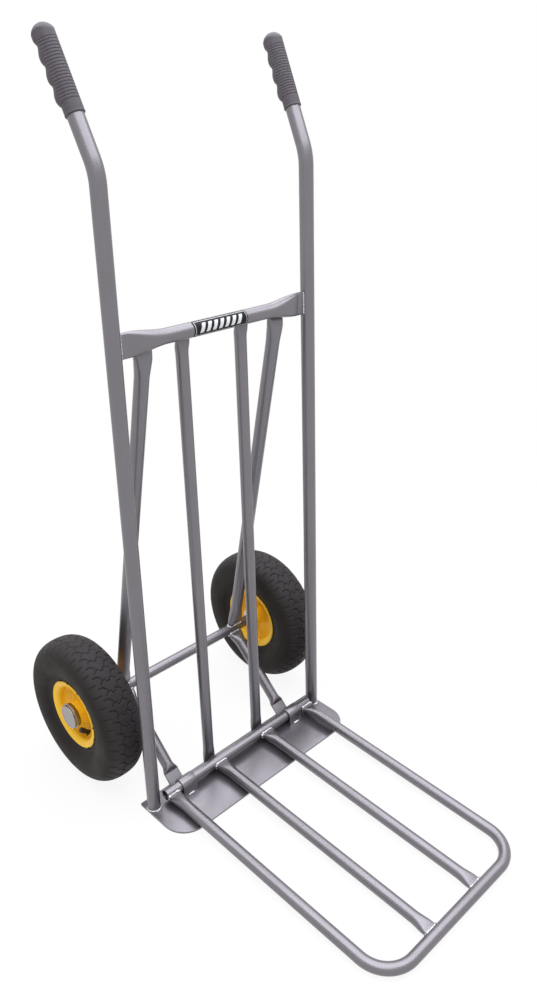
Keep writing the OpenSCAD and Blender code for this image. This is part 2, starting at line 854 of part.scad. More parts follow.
inner_races(RIGHT);  // right_inner_races
tyre(LEFT);  // left_tyre
tyre(RIGHT);  // right_tyre
inner_tube(LEFT);  // left_inner_tube
inner_tube(RIGHT);  // right_inner_tube
rim_outer_half(LEFT);  // left_rim_outer_half
rim_outer_half(RIGHT);  // right_rim_outer_half
rim_inner_half(LEFT);  // left_rim_inner_half
rim_inner_half(RIGHT);  // right_rim_inner_half
hub(LEFT);  // left_hub
hub(RIGHT);  // right_hub
outer_races(LEFT);  // left_outer_races
outer_races(RIGHT);  // right_outer_races
bearing_balls(LEFT);  // left_bearing_balls
bearing_balls(RIGHT);  // right_bearing_balls
valve_stem(LEFT);  // left_valve_stem
valve_stem(RIGHT);  // right_valve_stem
valve_cap(LEFT);  // left_valve_cap
valve_cap(RIGHT);  // right_valve_cap
hub_cap(LEFT);  // left_hub_cap
hub_cap(RIGHT);  // right_hub_cap
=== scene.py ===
"""Looks of the folding-toe sack truck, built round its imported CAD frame. Metres."""
import json
import math
import random

import bmesh
import bpy
from mathutils import Matrix, Vector, noise


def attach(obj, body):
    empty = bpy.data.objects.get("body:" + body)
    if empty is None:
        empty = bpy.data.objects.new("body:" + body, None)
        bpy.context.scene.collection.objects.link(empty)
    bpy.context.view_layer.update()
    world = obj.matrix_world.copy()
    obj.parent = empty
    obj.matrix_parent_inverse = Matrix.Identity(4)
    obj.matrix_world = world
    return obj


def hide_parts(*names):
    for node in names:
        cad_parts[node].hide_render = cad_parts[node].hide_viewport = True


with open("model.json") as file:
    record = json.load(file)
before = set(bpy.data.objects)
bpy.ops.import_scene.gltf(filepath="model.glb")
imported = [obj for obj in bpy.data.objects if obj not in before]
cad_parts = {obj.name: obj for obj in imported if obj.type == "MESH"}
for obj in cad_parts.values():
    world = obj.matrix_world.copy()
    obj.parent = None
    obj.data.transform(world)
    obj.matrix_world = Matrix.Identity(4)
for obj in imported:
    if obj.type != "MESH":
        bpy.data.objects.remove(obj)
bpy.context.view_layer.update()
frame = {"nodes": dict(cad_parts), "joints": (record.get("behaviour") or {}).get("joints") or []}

MM = 0.001
LEFT, RIGHT = -1, 1
SIDE_NAMES = {LEFT: "left", RIGHT: "right"}
X, Y, Z = Vector((1, 0, 0)), Vector((0, 1, 0)), Vector((0, 0, 1))
JOINTS = {j["name"]: j for j in frame["joints"]}
PIVOT = Vector(JOINTS["extension_fold"]["pos_m"])
WHEEL = Vector(JOINTS["right_wheel_spin"]["pos_m"])

# Frame sizes, as in the CAD source
RAIL_Y = PIVOT.y + 6.5 * MM
RAIL_R = 11 * MM
RAIL_FOOT_X = 193 * MM
RAIL_TOP_X = 181.5 * MM
RAIL_LEN = 997 * MM
RAIL_LEAN = math.radians(1.73)
RAIL_SPLAY = math.atan((RAIL_TOP_X - RAIL_FOOT_X) / RAIL_LEN)
BEND = math.radians(25)
HANDLE_TURN = math.radians(7)
BEND_R = 75 * MM
BEND_TANGENT = BEND_R * math.tan(BEND / 2)
RAIL_STRAIGHT = RAIL_LEN - BEND_TANGENT
HANDLE_LEN = 177.5 * MM - BEND_TANGENT
PLATE_T = 4 * MM
CROSSBAR_ALONG = 782 * MM
CROSSBAR_BACK = 1.5 * MM
CROSSBAR_FLAT_H = 36 * MM
CROSSBAR_FLAT_T = 7 * MM
CROSSBAR_FLAT_L = 12 * MM
CROSSBAR_FLARE_L = 66 * MM
CROSSBAR_Z = PLATE_T + CROSSBAR_ALONG * math.cos(RAIL_LEAN)
CROSSBAR_Y = RAIL_Y + CROSSBAR_ALONG * math.sin(RAIL_LEAN) + CROSSBAR_BACK
CROSSBAR_END_X = RAIL_FOOT_X + CROSSBAR_ALONG * (RAIL_TOP_X - RAIL_FOOT_X) / RAIL_LEN
PAD_T = 5 * MM
PAD_Y = CROSSBAR_Y + RAIL_R + PAD_T / 2
PAD_Z = CROSSBAR_Z - RAIL_R - 4 * MM
PAD_TOP_Z = CROSSBAR_Z + 5 * MM
SLAT_R = 9.5 * MM
SLAT_FOOT_X, SLAT_TOP_X = 58 * MM, 56.5 * MM
SLAT_FOOT_Y = RAIL_Y + 15 * MM
SLAT_TOP_Y = PAD_Y + 3 * MM
SLAT_FLARE_W = 24 * MM
SLAT_BLEND = 13 * MM
SLAT_EASE = 10 * MM
BRACE_R = 11 * MM
BRACE_TOP_X, BRACE_FOOT_X = 127 * MM, 134 * MM
BRACE_FLARE_W = 31 * MM
BRACE_BLEND = 40 * MM
BRACE_EASE = 30 * MM
BRACE_KNEE_Z = PAD_Z - 15 * MM
AXLE_PAD_T = 8 * MM
STRUT_R = 10 * MM
STRUT_X = 130 * MM
STRUT_FOOT_Y = RAIL_Y + 18 * MM
STRUT_FLARE_W = 29 * MM
STRUT_FOOT_T = 4 * MM
STRUT_FOOT_L = 20 * MM
STRUT_BLEND = 26 * MM
PLATE_HALF_W = 205.5 * MM
PLATE_FRONT, PLATE_REAR = 88.5 * MM, 22 * MM
PLATE_CORNER_R = 43 * MM
STRAP_X, STRAP_W, STRAP_T = 128.5 * MM, 29 * MM, 3 * MM
HINGE_CLEAR = 0.08 * MM
AXLE_TUBE_R = 9.5 * MM
AXLE_BORE_R = 8.04 * MM
AXLE_TUBE_HALF_L = 176.6 * MM

# Toe extension
EXT_R = 9.5 * MM
EXT_LEN = 468 * MM
ARM_X = 161.5 * MM
BAR_X = 56 * MM
EXT_CORNER_R = 52 * MM
PIVOT_HALF_L = 173 * MM
TUBE_WALL = 1.5 * MM
EXT_DROP = math.asin((PIVOT.z - EXT_R - 0.1 * MM) / EXT_LEN)
ARM_FLARE_W, ARM_PAD_T, ARM_BLEND = 25 * MM, 7 * MM, 30 * MM
BAR_FLARE_W, BAR_FLAT_T, BAR_BLEND = 25 * MM, 9 * MM, 30 * MM

# Wheels: r is the distance from the axis, u the distance outward from the centre plane
TYRE_R = 130 * MM
TYRE_HALF_W = 38.25 * MM
RIM_R = 62.25 * MM
RIM_FLANGE_U = 26.5 * MM
RIM_SEAT_R = 50.25 * MM
RIM_SEAT_U = 24 * MM
RIM_DISH_R = 41.25 * MM
RIM_T = 1.5 * MM
HUB_R = 20 * MM
HUB_HALF_L = 29.5 * MM
CAP_R = 21.04 * MM
CAP_BRIM_R = 23.04 * MM
CAP_SKIRT_U = 25.5 * MM
CAP_FRONT_U = 37.2 * MM
VALVE_TURN = math.radians(165)
VALVE_R = 4.5 * MM
VALVE_CAP_L = 8 * MM

# Meshes: points round a section, rounding of cut tube ends, and weld beads
TUBE_SIDES, RAIL_SIDES = 48, 64
SADDLE_SIDES, FOOT_SEAM_SIDES, VALVE_SIDES = 44, 40, 28
TUBE_END_R = 0.6 * MM
BEAD_SIDES = 10
BEAD_STEP = 0.55 * MM
BEAD_PITCH = 2.6 * MM
BEAD_WAVE = 2.4 * MM

# Grips and label
GRIP_LEN = 109 * MM
GRIP_R = 12.6 * MM
FINGER_SIDE_R = 14 * MM
FINGER_SIDE_OFF = 3.6 * MM
FINGER_DEPTH = 3 * MM
GRIP_COLLAR_L = 13 * MM
GRIP_END_GAP = 13.5 * MM
GRIP_SIDES = 112
RIB_START, RIB_END, RIB_COUNT = 16 * MM, 88 * MM, 19
LABEL_W, LABEL_HALF_S = 101 * MM, 12.6 * MM
LABEL_X, LABEL_TURN = -3 * MM, math.radians(14)


# Materials

def node(tree, kind, inputs=None, **settings):
    """Adds a node; inputs that are sockets are linked, other inputs are set."""
    made = tree.nodes.new(kind)
    for key, value in settings.items():
        setattr(made, key, value)
    for key, value in (inputs or {}).items():
        if isinstance(value, bpy.types.NodeSocket):
            tree.links.new(value, made.inputs[key])
        else:
            made.inputs[key].default_value = value
    return made


def noise_map(tree, coords, scale, detail, low, high):
    """Noise stretched to run from low to high."""
    grain = node(tree, "ShaderNodeTexNoise", {"Vector": coords, "Scale": scale, "Detail": detail})
    return node(tree, "ShaderNodeMapRange", {
        "Value": grain.outputs["Fac"], "From Min": 0.3, "From Max": 0.7,
        "To Min": low, "To Max": high,
    }).outputs["Result"]


def mix_colours(tree, share, first, second):
    """Mixes two colours, or sockets of colours, by a share."""
    made = tree.nodes.new("ShaderNodeMix")
    made.data_type = "RGBA"
    for index, value in ((0, share), (6, first), (7, second)):
        if isinstance(value, bpy.types.NodeSocket):
            tree.links.new(value, made.inputs[index])
        else:
            made.inputs[index].default_value = value
    return made.outputs[2]


def shade(colour, factor):
    """Colour made lighter or darker, with alpha."""
    return (*(min(1.0, c * factor) for c in colour), 1.0)


def finish_material(name, colour, rough, spread=0.06, metallic=0.0, mottle=25.0,
                    grain=900.0, grain_height=0.02 * MM, ripple=0.0, ripple_height=0.0,
                    flakes=0.0, specular=0.5):
    """Base finish: mottled colour and gloss, fine grain, and optional flakes and ripple."""
    made = bpy.data.materials.new(name)
    made.use_nodes = True
    tree = made.node_tree
    shader = tree.nodes["Principled BSDF"]
    coords = node(tree, "ShaderNodeTexCoord").outputs["Object"]
    patches = noise_map(tree, coords, mottle, 5.0, 0.0, 1.0)
    base = mix_colours(tree, patches, shade(colour, 1 - spread), shade(colour, 1 + spread))
    rough_out = noise_map(tree, coords, mottle * 2.3, 4.0, rough * 0.9, rough * 1.12)
    if flakes:
        cells = node(tree, "ShaderNodeTexVoronoi", {"Vector": coords, "Scale": 2600.0})
        sparkle = node(tree, "ShaderNodeSeparateColor", {"Color": cells.outputs["Color"]})
        share = node(tree, "ShaderNodeMath", {0: sparkle.outputs["Red"], 1: 5.0},
                     operation="POWER").outputs[0]
        base = mix_colours(tree, share, base, shade(colour, 1 + flakes))
    bump = None
    for scale, detail, height in ((grain, 2.0, grain_height), (ripple, 1.0, ripple_height)):
        if scale:
            waves = node(tree, "ShaderNodeTexNoise", {"Vector": coords, "Scale": scale,
                                                      "Detail": detail})
            below = {"Normal": bump.outputs["Normal"]} if bump else {}
            bump = node(tree, "ShaderNodeBump", {"Height": waves.outputs["Fac"],
                                                 "Distance": height, "Strength": 1.0, **below})
    tree.links.new(base, shader.inputs["Base Color"])
    tree.links.new(rough_out, shader.inputs["Roughness"])
    tree.links.new(bump.outputs["Normal"], shader.inputs["Normal"])
    shader.inputs["Metallic"].default_value = metallic
    shader.inputs["Specular IOR Level"].default_value = specular
    return made


def paint_tread_light(made, colour):
    """Blends to a lighter second colour over the tread, by distance from the wheels' shared axis:
    painted light, the tread made lighter than the sidewall as if lit from above.
    """
    tree = made.node_tree
    shader = tree.nodes["Principled BSDF"]
    base = shader.inputs["Base Color"].links[0].from_socket
    coords = node(tree, "ShaderNodeTexCoord").outputs["Object"]
    offset = node(tree, "ShaderNodeVectorMath", {0: coords, 1: (0, WHEEL.y, WHEEL.z)},
                  operation="SUBTRACT").outputs[0]
    radial = node(tree, "ShaderNodeVectorMath", {0: offset, 1: (0, 1, 1)},
                  operation="MULTIPLY").outputs[0]
    away = node(tree, "ShaderNodeVectorMath", {0: radial}, operation="LENGTH").outputs["Value"]
    share = node(tree, "ShaderNodeMapRange", {"Value": away, "From Min": 114 * MM,
                                              "From Max": 124 * MM}).outputs["Result"]
    tree.links.new(mix_colours(tree, share, base, (*colour, 1)), shader.inputs["Base Color"])


PAINT = finish_material("frame_paint", (0.2, 0.188, 0.205), 0.34, metallic=0.8, spread=0.04,
                        mottle=14.0, flakes=0.14, grain=1500.0, grain_height=0.006 * MM,
                        ripple=260.0, ripple_height=0.02 * MM, specular=0.5)
WELD = finish_material("weld_bead", (0.46, 0.45, 0.47), 0.25, metallic=0.95, spread=0.5,
                       mottle=420.0, grain=1600.0, grain_height=0.06 * MM)
BRIGHT = finish_material("bright_steel", (0.55, 0.55, 0.57), 0.3, metallic=1.0, spread=0.08,
                         mottle=60.0, grain=2400.0, grain_height=0.006 * MM)
CHROME = finish_material("cap_chrome", (0.3, 0.285, 0.29), 0.2, metallic=1.0, spread=0.03,
                         mottle=90.0, grain=1200.0, grain_height=0.003 * MM)
YELLOW = finish_material("rim_paint", (0.95, 0.56, 0.025), 0.36, spread=0.03, mottle=22.0,
                         grain=700.0, grain_height=0.01 * MM, ripple=160.0,
                         ripple_height=0.03 * MM, specular=0.2)
RUBBER = finish_material("tyre_rubber", (0.02, 0.0165, 0.0145), 0.62, spread=0.14, mottle=18.0,
                         grain=1100.0, grain_height=0.05 * MM, specular=0.16)
# Painted light: the tread is made lighter than the sidewall, standing in for the light falling on
# it from above.
paint_tread_light(RUBBER, (0.031, 0.0265, 0.028))
TUBE_RUBBER = finish_material("tube_rubber", (0.02, 0.02, 0.02), 0.6, spread=0.1)
VALVE_RUBBER = finish_material("valve_rubber", (0.012, 0.0115, 0.011), 0.5, spread=0.1,
                               mottle=150.0, grain=1400.0)
VALVE_PLASTIC = finish_material("valve_plastic", (0.012, 0.012, 0.012), 0.38, spread=0.1,
                                mottle=150.0, grain=1800.0)
GRIP_PLASTIC = finish_material("grip_plastic", (0.075, 0.064, 0.075), 0.55, spread=0.07,
                               mottle=45.0, grain=1300.0, grain_height=0.05 * MM, specular=0.4)
LABEL_BLACK = finish_material("label", (0.006, 0.006, 0.007), 0.5, spread=0.1, mottle=60.0,
                              grain=900.0, grain_height=0.004 * MM, specular=0.2)
LABEL_INK = finish_material("label_ink", (0.72, 0.72, 0.73), 0.35, spread=0.03, mottle=80.0,
                            grain=900.0, grain_height=0.004 * MM)


# Meshes

def skin(rings, loop=False, caps=True):
    """Surface through rings of points, each a closed loop, as vertices and faces."""
    n = len(rings[0])
    verts = [p for ring in rings for p in ring]
    faces = []
    for i in range(len(rings) if loop else len(rings) - 1):
        a, b = i * n, (i + 1) % len(rings) * n
        faces += [(a + k, a + (k + 1) % n, b + (k + 1) % n, b + k) for k in range(n)]
    if caps and not loop:
        last = (len(rings) - 1) * n
        faces += [tuple(range(n - 1, -1, -1)), tuple(range(last, last + n))]
    return verts, faces


def piece(name, shapes, material, body, replaces=(), sharp=35.0):
    """One object from (vertices, faces) shapes, riding on a body."""
    verts, faces = [], []
    for shape_verts, shape_faces in shapes:
        start = len(verts)
        verts += [tuple(v) for v in shape_verts]
        faces += [tuple(i + start for i in f) for f in shape_faces]
    mesh = bpy.data.meshes.new(name)
    mesh.from_pydata(verts, [], faces)
    work = bmesh.new()
    work.from_mesh(mesh)
    bmesh.ops.remove_doubles(work, verts=work.verts, dist=1e-7)
    bmesh.ops.dissolve_degenerate(work, edges=work.edges, dist=1e-8)
    bmesh.ops.recalc_face_normals(work, faces=work.faces)
    work.to_mesh(mesh)
    work.free()
    mesh.shade_smooth()
    if sharp:
        mesh.set_sharp_from_angle(angle=math.radians(sharp))
    mesh.materials.append(material)
    made = bpy.data.objects.new(name, mesh)
    bpy.context.scene.collection.objects.link(made)
    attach(made, body)
    if replaces:
        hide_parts(*replaces)
    return made


def circle(n):
    """Angles of n even steps round a circle."""
    return [2 * math.pi * i / n for i in range(n)]


def wheel_point(side, r, u, angle):
    """Point at radius r from a wheel's axis and u outward from its centre plane."""
    return Vector((side * (WHEEL.x + u), WHEEL.y + r * math.cos(angle),
                   WHEEL.z + r * math.sin(angle)))


def outline_normals(points, closed=False):
    """Unit normals along an outline of 2-D points, to the left of the way it runs."""
    last = len(points) - 1
    normals = []
    for i in range(len(points)):
        before = points[i - 1 if closed else max(i - 1, 0)]
        after = points[(i + 1) % len(points) if closed else min(i + 1, last)]
        way = (Vector(after) - Vector(before)).normalized()
        normals.append(Vector((-way.y, way.x)))
    return normals


def mirrored(points, side):
    """Points of the right side, moved to the side asked for."""
    return [Vector((side * p.x, p.y, p.z)) for p in points]


def stadium(w, t, n):
    """Outline of a tube pressed to w by t: half rounds joined by two flats."""
    half_round, half_flat = t / 2, max(w - t, 0) / 2
    angles = [2 * math.pi * (i + 0.5) / n for i in range(n)]
    return [(half_round * math.cos(a) + math.copysign(half_flat, math.cos(a)),
             half_round * math.sin(a)) for a in angles]


def sweep(path, sizes, thin, n=TUBE_SIDES):
    """Tube along a path of points, pressed to sizes (w, t) at each, with t along thin."""
    rings = []
    last = len(path) - 1
    for i, (point, (w, t)) in enumerate(zip(path, sizes)):
        ahead = (path[min(i + 1, last)] - path[max(i - 1, 0)]).normalized()
        t_axis = (thin - ahead * thin.dot(ahead)).normalized()
        w_axis = ahead.cross(t_axis)
        steps = [(0, 0)]
        if i in (0, last):
            turns = [math.radians(a) for a in (90, 60, 30)]
            steps = [(TUBE_END_R * math.sin(a), TUBE_END_R * (1 - math.cos(a))) for a in turns]
            steps.append((0, 0))
            steps = [(s, -d) for s, d in steps]
            if i == last:
                steps = list(reversed(steps))
        for out, inset in steps:
            shift = ahead * (-out if i == 0 else out)
            outline = stadium(w + 2 * inset, t + 2 * inset, n)
            rings.append([point + shift + w_axis * a + t_axis * b for a, b in outline])
    return skin(rings)


def stations(marks, step=3 * MM):
    """Distances along a tube with close pairs at each mark, so that creases stay crisp."""
    found = []
    for a, b in zip(marks, marks[1:]):
        count = min(24, max(1, round((b - a) / step)))
        found += [a + (b - a) * i / count for i in range(count)]
        if b - a > 3 * MM:
            found += [a + 0.8 * MM, b - 0.8 * MM]
    return sorted(found + [marks[-1]])


def blend_sizes(s, table):
    """Pressed size at distance s from a table of (distance, w, t).

    Width eases along the whole blend; thickness springs up just past the pressed pad."""
    for (s0, w0, t0), (s1, w1, t1) in zip(table, table[1:]):
        if s <= s1:
            f = clamped((s - s0) / (s1 - s0))
            wide = eased(f)
            full = 1 - (1 - f) ** 2.6 if t1 > t0 else f ** 2.6
            return w0 + (w1 - w0) * wide, t0 + (t1 - t0) * full
    return table[-1][1:]


def clamped(share):
    """Share kept from 0 to 1."""
    return min(1, max(0, share))


def eased(share):
    """Share from 0 to 1, level at both ends."""
    return share * share * (3 - 2 * share)


def along_points(points, s):
    """Point at distance s along straight lines through points."""
    for a, b in zip(points, points[1:]):
        reach = (b - a).length
        if s <= reach + 1e-9:
            return a + (b - a) * (s / reach)
        s -= reach
    return points[-1]


def pressed_tube(points, table, thin, n=TUBE_SIDES):
    """Straight-line tube through points with pressed zones given by a size table."""
    marks = sorted({row[0] for row in table} | {0.0, table[-1][0]})
    at = stations(marks)
    path = [along_points(points, s) for s in at]
    return sweep(path, [blend_sizes(s, table) for s in at], thin, n)


def filleted(points, radius, steps=5, closed=True):
    """Polygon of 2-D points with its corners rounded."""
    found = []
    count = len(points)
    for i, p in enumerate(points):
        if not closed and i in (0, count - 1):
            found.append(tuple(p))
            continue
        r = radius[i] if isinstance(radius, (list, tuple)) else radius
        p = Vector(p)
        a, b = Vector(points[i - 1]), Vector(points[(i + 1) % count])
        to_a, to_b = a - p, b - p
        if r <= 0:
            found.append(tuple(p))
            continue
        cut = min(r / max(math.tan(to_a.angle(to_b) / 2), 1e-3),
                  0.48 * to_a.length, 0.48 * to_b.length)
        start, end = p + to_a.normalized() * cut, p + to_b.normalized() * cut
        for k in range(steps + 1):
            f = k / steps
            found.append(tuple(start * (1 - f) ** 2 + p * 2 * f * (1 - f) + end * f * f))
    return found


def lathe(profile, centre, side=RIGHT, n=96):
    """Closed profile of (radius, distance along X) turned about the X axis at centre."""
    rings = []
    for a in circle(n):
        c, s = math.cos(a), math.sin(a)
        rings.append([Vector((side * (centre.x + u), centre.y + r * c, centre.z + r * s))
                      for r, u in profile])
    return skin(rings, loop=True)


def bead(path, radius, seed, closed=False):
    """Weld bead along a path: a rippled, slightly uneven rope of metal."""
    if closed:
        path = path + [path[0]]
    total = sum((b - a).length for a, b in zip(path, path[1:]))
    count = max(8, round(total / BEAD_STEP))
    rng = random.Random(seed)
    phase = rng.random() * 3
    rings = []
    at = [total * i / count for i in range(count if closed else count + 1)]
    points = [along_points(path, s) for s in at]
    for i, (s, point) in enumerate(zip(at, points)):
        if closed:
            ahead = points[(i + 1) % count] - points[i - 1]
        else:
            ahead = points[min(i + 1, count)] - points[max(i - 1, 0)]
        ahead.normalize()
        first = ahead.orthogonal() if abs(ahead.z) > 0.9 else ahead.cross(Z)
        first.normalize()
        second = ahead.cross(first)
        wobble = noise.noise(Vector((s / BEAD_WAVE, phase, seed)))
        ripple = abs(math.sin(math.pi * (s / BEAD_PITCH + phase)))
        size = radius * (0.86 + 0.2 * ripple + 0.3 * wobble)
        if not closed:
            end = min(s, total - s) / (1.5 * radius)
            size *= math.sqrt(min(1.0, max(0.05, end * (2 - min(end, 1)))))
        ring = []
        for k in range(BEAD_SIDES):
            a = 2 * math.pi * k / BEAD_SIDES
            lump = 1 + 0.2 * noise.noise(Vector((s / MM, k * 0.9, seed)))
            ring.append(point + (first * math.cos(a) + second * math.sin(a)) * size * lump)
        rings.append(ring)
    return skin(rings, loop=closed)


def painted(name, shape, node_name, body="frame"):
    """A painted steel piece that stands in for a CAD node."""
    return piece(name, [shape], PAINT, body, [node_name])


def welds(name, beads, body="frame"):
    """One object from the weld beads of a piece."""
    return piece(name, beads, WELD, body, sharp=0)


def foot_seam(w, t, centre):
    """Pressed tube's outline laid flat at a point, for a weld round its foot."""
    return [centre + Vector((a, b, 0)) for a, b in stadium(w, t, FOOT_SEAM_SIDES)]


# Rails, with their handles bent back

def rail_matrix():
    """Right rail's own frame: Z runs up the rail from its foot."""
    return (Matrix.Translation((RAIL_FOOT_X, RAIL_Y, PLATE_T))
            @ Matrix.Rotation(RAIL_SPLAY, 4, "Y") @ Matrix.Rotation(-RAIL_LEAN, 4, "X"))


def turned_matrix():
    """Right rail's frame, turned about the rail as its handle is."""
    return rail_matrix() @ Matrix.Rotation(-HANDLE_TURN, 4, "Z")


def handle_matrix():
    """Handle's frame: Z runs along the straight part past the bend."""
    return (turned_matrix() @ Matrix.Translation((0, BEND_R, RAIL_STRAIGHT))
            @ Matrix.Rotation(-BEND, 4, "X") @ Matrix.Translation((0, -BEND_R, 0)))


def build_rail(side):
    """Rail tube with its bend, and the weld round its foot."""
    name = SIDE_NAMES[side]
    bend_steps = 14
    rail, handle = turned_matrix(), handle_matrix()
    path = [rail @ Vector((0, 0, RAIL_STRAIGHT * i / 24)) for i in range(25)]
    for i in range(1, bend_steps + 1):
        a = BEND * i / bend_steps
        path.append(rail @ Vector((0, BEND_R * (1 - math.cos(a)),
                                   RAIL_STRAIGHT + BEND_R * math.sin(a))))
    handle_end = HANDLE_LEN - GRIP_END_GAP
    path += [handle @ Vector((0, 0, handle_end * i / 6)) for i in range(1, 7)]
    path = mirrored(path, side)
    sizes = [(2 * RAIL_R, 2 * RAIL_R)] * len(path)
    painted(f"{name}_rail_tube", sweep(path, sizes, Y, RAIL_SIDES), f"{name}_rail")
    foot = Vector((side * RAIL_FOOT_X, RAIL_Y, PLATE_T + 0.8 * MM))
    ring_r = RAIL_R + 0.6 * MM
    ring = [foot + Vector((ring_r * math.cos(a), ring_r * math.sin(a), 0))
            for a in circle(48)]
    lump = [p - Y * 0.8 * MM for p in ring[32:41]]
    welds(f"{name}_rail_foot_weld", [bead(ring, 1.7 * MM, 3 + side, closed=True),
                                     bead(lump, 3.8 * MM, 5 + side)])


# Crossbar, and its welds to the rails

def build_crossbar():
    """Crossbar with its tall flattened ends, welded front and back."""
    half = CROSSBAR_END_X - 2 * MM
    flat_x = CROSSBAR_END_X - RAIL_R - CROSSBAR_FLAT_L
    round_x = flat_x - CROSSBAR_FLARE_L
    centre = Vector((0, CROSSBAR_Y, CROSSBAR_Z))
    points = [centre - X * half, centre + X * half]
    flat, whole = (CROSSBAR_FLAT_H, CROSSBAR_FLAT_T), (2 * RAIL_R, 2 * RAIL_R)
    table = [(0.0, *flat), (half - flat_x, *flat), (half - round_x, *whole),
             (half + round_x, *whole), (half + flat_x, *flat), (2 * half, *flat)]
    painted("crossbar_tube", pressed_tube(points, table, Y, RAIL_SIDES), "crossbar")
    beads = []
    for side in (LEFT, RIGHT):
        for front, offset in ((-1, 1.0), (1, 0.6)):
            y = CROSSBAR_Y + front * CROSSBAR_FLAT_T / 2
            from_axis = y - (CROSSBAR_Y - CROSSBAR_BACK)
            inset = math.sqrt(max(RAIL_R ** 2 - from_axis ** 2, 0)) + 0.3 * MM
            path = []
            for i in range(9):
                z = CROSSBAR_FLAT_H * (i / 8 - 0.5) * 0.98
                x = CROSSBAR_END_X - z * math.tan(-RAIL_SPLAY) - inset
                path.append(Vector((side * x, y + z * math.tan(RAIL_LEAN), CROSSBAR_Z + z)))
            beads.append(bead(path, 1.9 * MM * offset, 11 + side + front))
    welds("crossbar_welds", beads)


# Slats, rear braces and lower braces

def pad_seams(pad, top, flare_w):
    """Weld lines over and under the crossbar, where a pressed pad lies on its back."""
    across = X * flare_w * 0.46
    over = top - Y * (PAD_T / 2 + 0.6 * MM)
    under = Vector((pad.x, CROSSBAR_Y + RAIL_R * 0.72, CROSSBAR_Z - RAIL_R * 0.78))
    return [over - across, over + across], [under - across, under + across]


def build_slat(side):
    """Slat from the toe plate to the crossbar's back."""
    name = SIDE_NAMES[side]
    foot = Vector((SLAT_FOOT_X, SLAT_FOOT_Y, PLATE_T))
    knee = Vector((SLAT_TOP_X, SLAT_TOP_Y, PAD_Z - SLAT_BLEND))
    pad = Vector((SLAT_TOP_X, PAD_Y, PAD_Z))
    top = Vector((SLAT_TOP_X, PAD_Y, PAD_TOP_Z))
    reach = (knee - foot).length
    pad_s = reach + (pad - knee).length
    whole = (2 * SLAT_R, 2 * SLAT_R)
    table = [(0.0, SLAT_FLARE_W, PAD_T), (5 * MM, SLAT_FLARE_W, PAD_T), (40 * MM, *whole),
             (reach - SLAT_EASE, *whole), (pad_s, SLAT_FLARE_W, PAD_T),
             (pad_s + (top - pad).length, SLAT_FLARE_W, PAD_T)]
    points = mirrored([foot, knee, pad, top], side)
    painted(f"{name}_slat_tube", pressed_tube(points, table, Y), f"{name}_slat")
    ring = foot_seam(SLAT_FLARE_W, PAD_T + 1 * MM, points[0] + Z * 0.6 * MM)
    over, under = pad_seams(points[2], points[3], SLAT_FLARE_W)
    welds(f"{name}_slat_welds", [
        bead(ring, 1.5 * MM, 21 + side, closed=True),
        bead(over, 1.7 * MM, 23 + side),
        bead(under, 1.4 * MM, 25 + side),
    ])


def saddle_path(w, t, centre, ahead, radius):
    """Outline of a pressed tube where it meets a tube along X that it runs into."""
    t_axis = ahead.cross(X).normalized()
    path = []
    for a, b in stadium(w, t, SADDLE_SIDES):
        depth = math.sqrt(max(radius ** 2 - b ** 2, 0))
        path.append(centre + X * a + t_axis * b + ahead * depth)
    return path


def build_rear_brace(side):
    """Brace from the axle tube to the crossbar's back."""
    name = SIDE_NAMES[side]
    axle = Vector((BRACE_FOOT_X, WHEEL.y, WHEEL.z))
    knee = Vector((BRACE_TOP_X, PAD_Y, BRACE_KNEE_Z))
    pad = Vector((BRACE_TOP_X, PAD_Y, PAD_Z))
    top = Vector((BRACE_TOP_X, PAD_Y, PAD_TOP_Z))
    reach = (knee - axle).length
    pad_s = reach + (pad - knee).length
    foot_end = AXLE_TUBE_R + 4 * MM
    whole = (2 * BRACE_R, 2 * BRACE_R)
    table = [(0.0, BRACE_FLARE_W, AXLE_PAD_T), (foot_end, BRACE_FLARE_W, AXLE_PAD_T),
             (foot_end + BRACE_BLEND, *whole), (reach - BRACE_EASE, *whole),
             (pad_s, BRACE_FLARE_W, PAD_T), (pad_s + (top - pad).length, BRACE_FLARE_W, PAD_T)]
    points = mirrored([axle, knee, pad, top], side)
    painted(f"{name}_rear_brace_tube", pressed_tube(points, table, Y), f"{name}_rear_brace")
    ahead = (points[1] - points[0]).normalized()
    over, under = pad_seams(points[2], points[3], BRACE_FLARE_W)
    saddle = saddle_path(BRACE_FLARE_W, AXLE_PAD_T, points[0], ahead, AXLE_TUBE_R + 0.5 * MM)
    welds(f"{name}_rear_brace_welds", [
        bead(saddle, 2.2 * MM, 31 + side, closed=True),
        bead(over, 1.8 * MM, 33 + side),
        bead(under, 1.5 * MM, 35 + side),
    ])


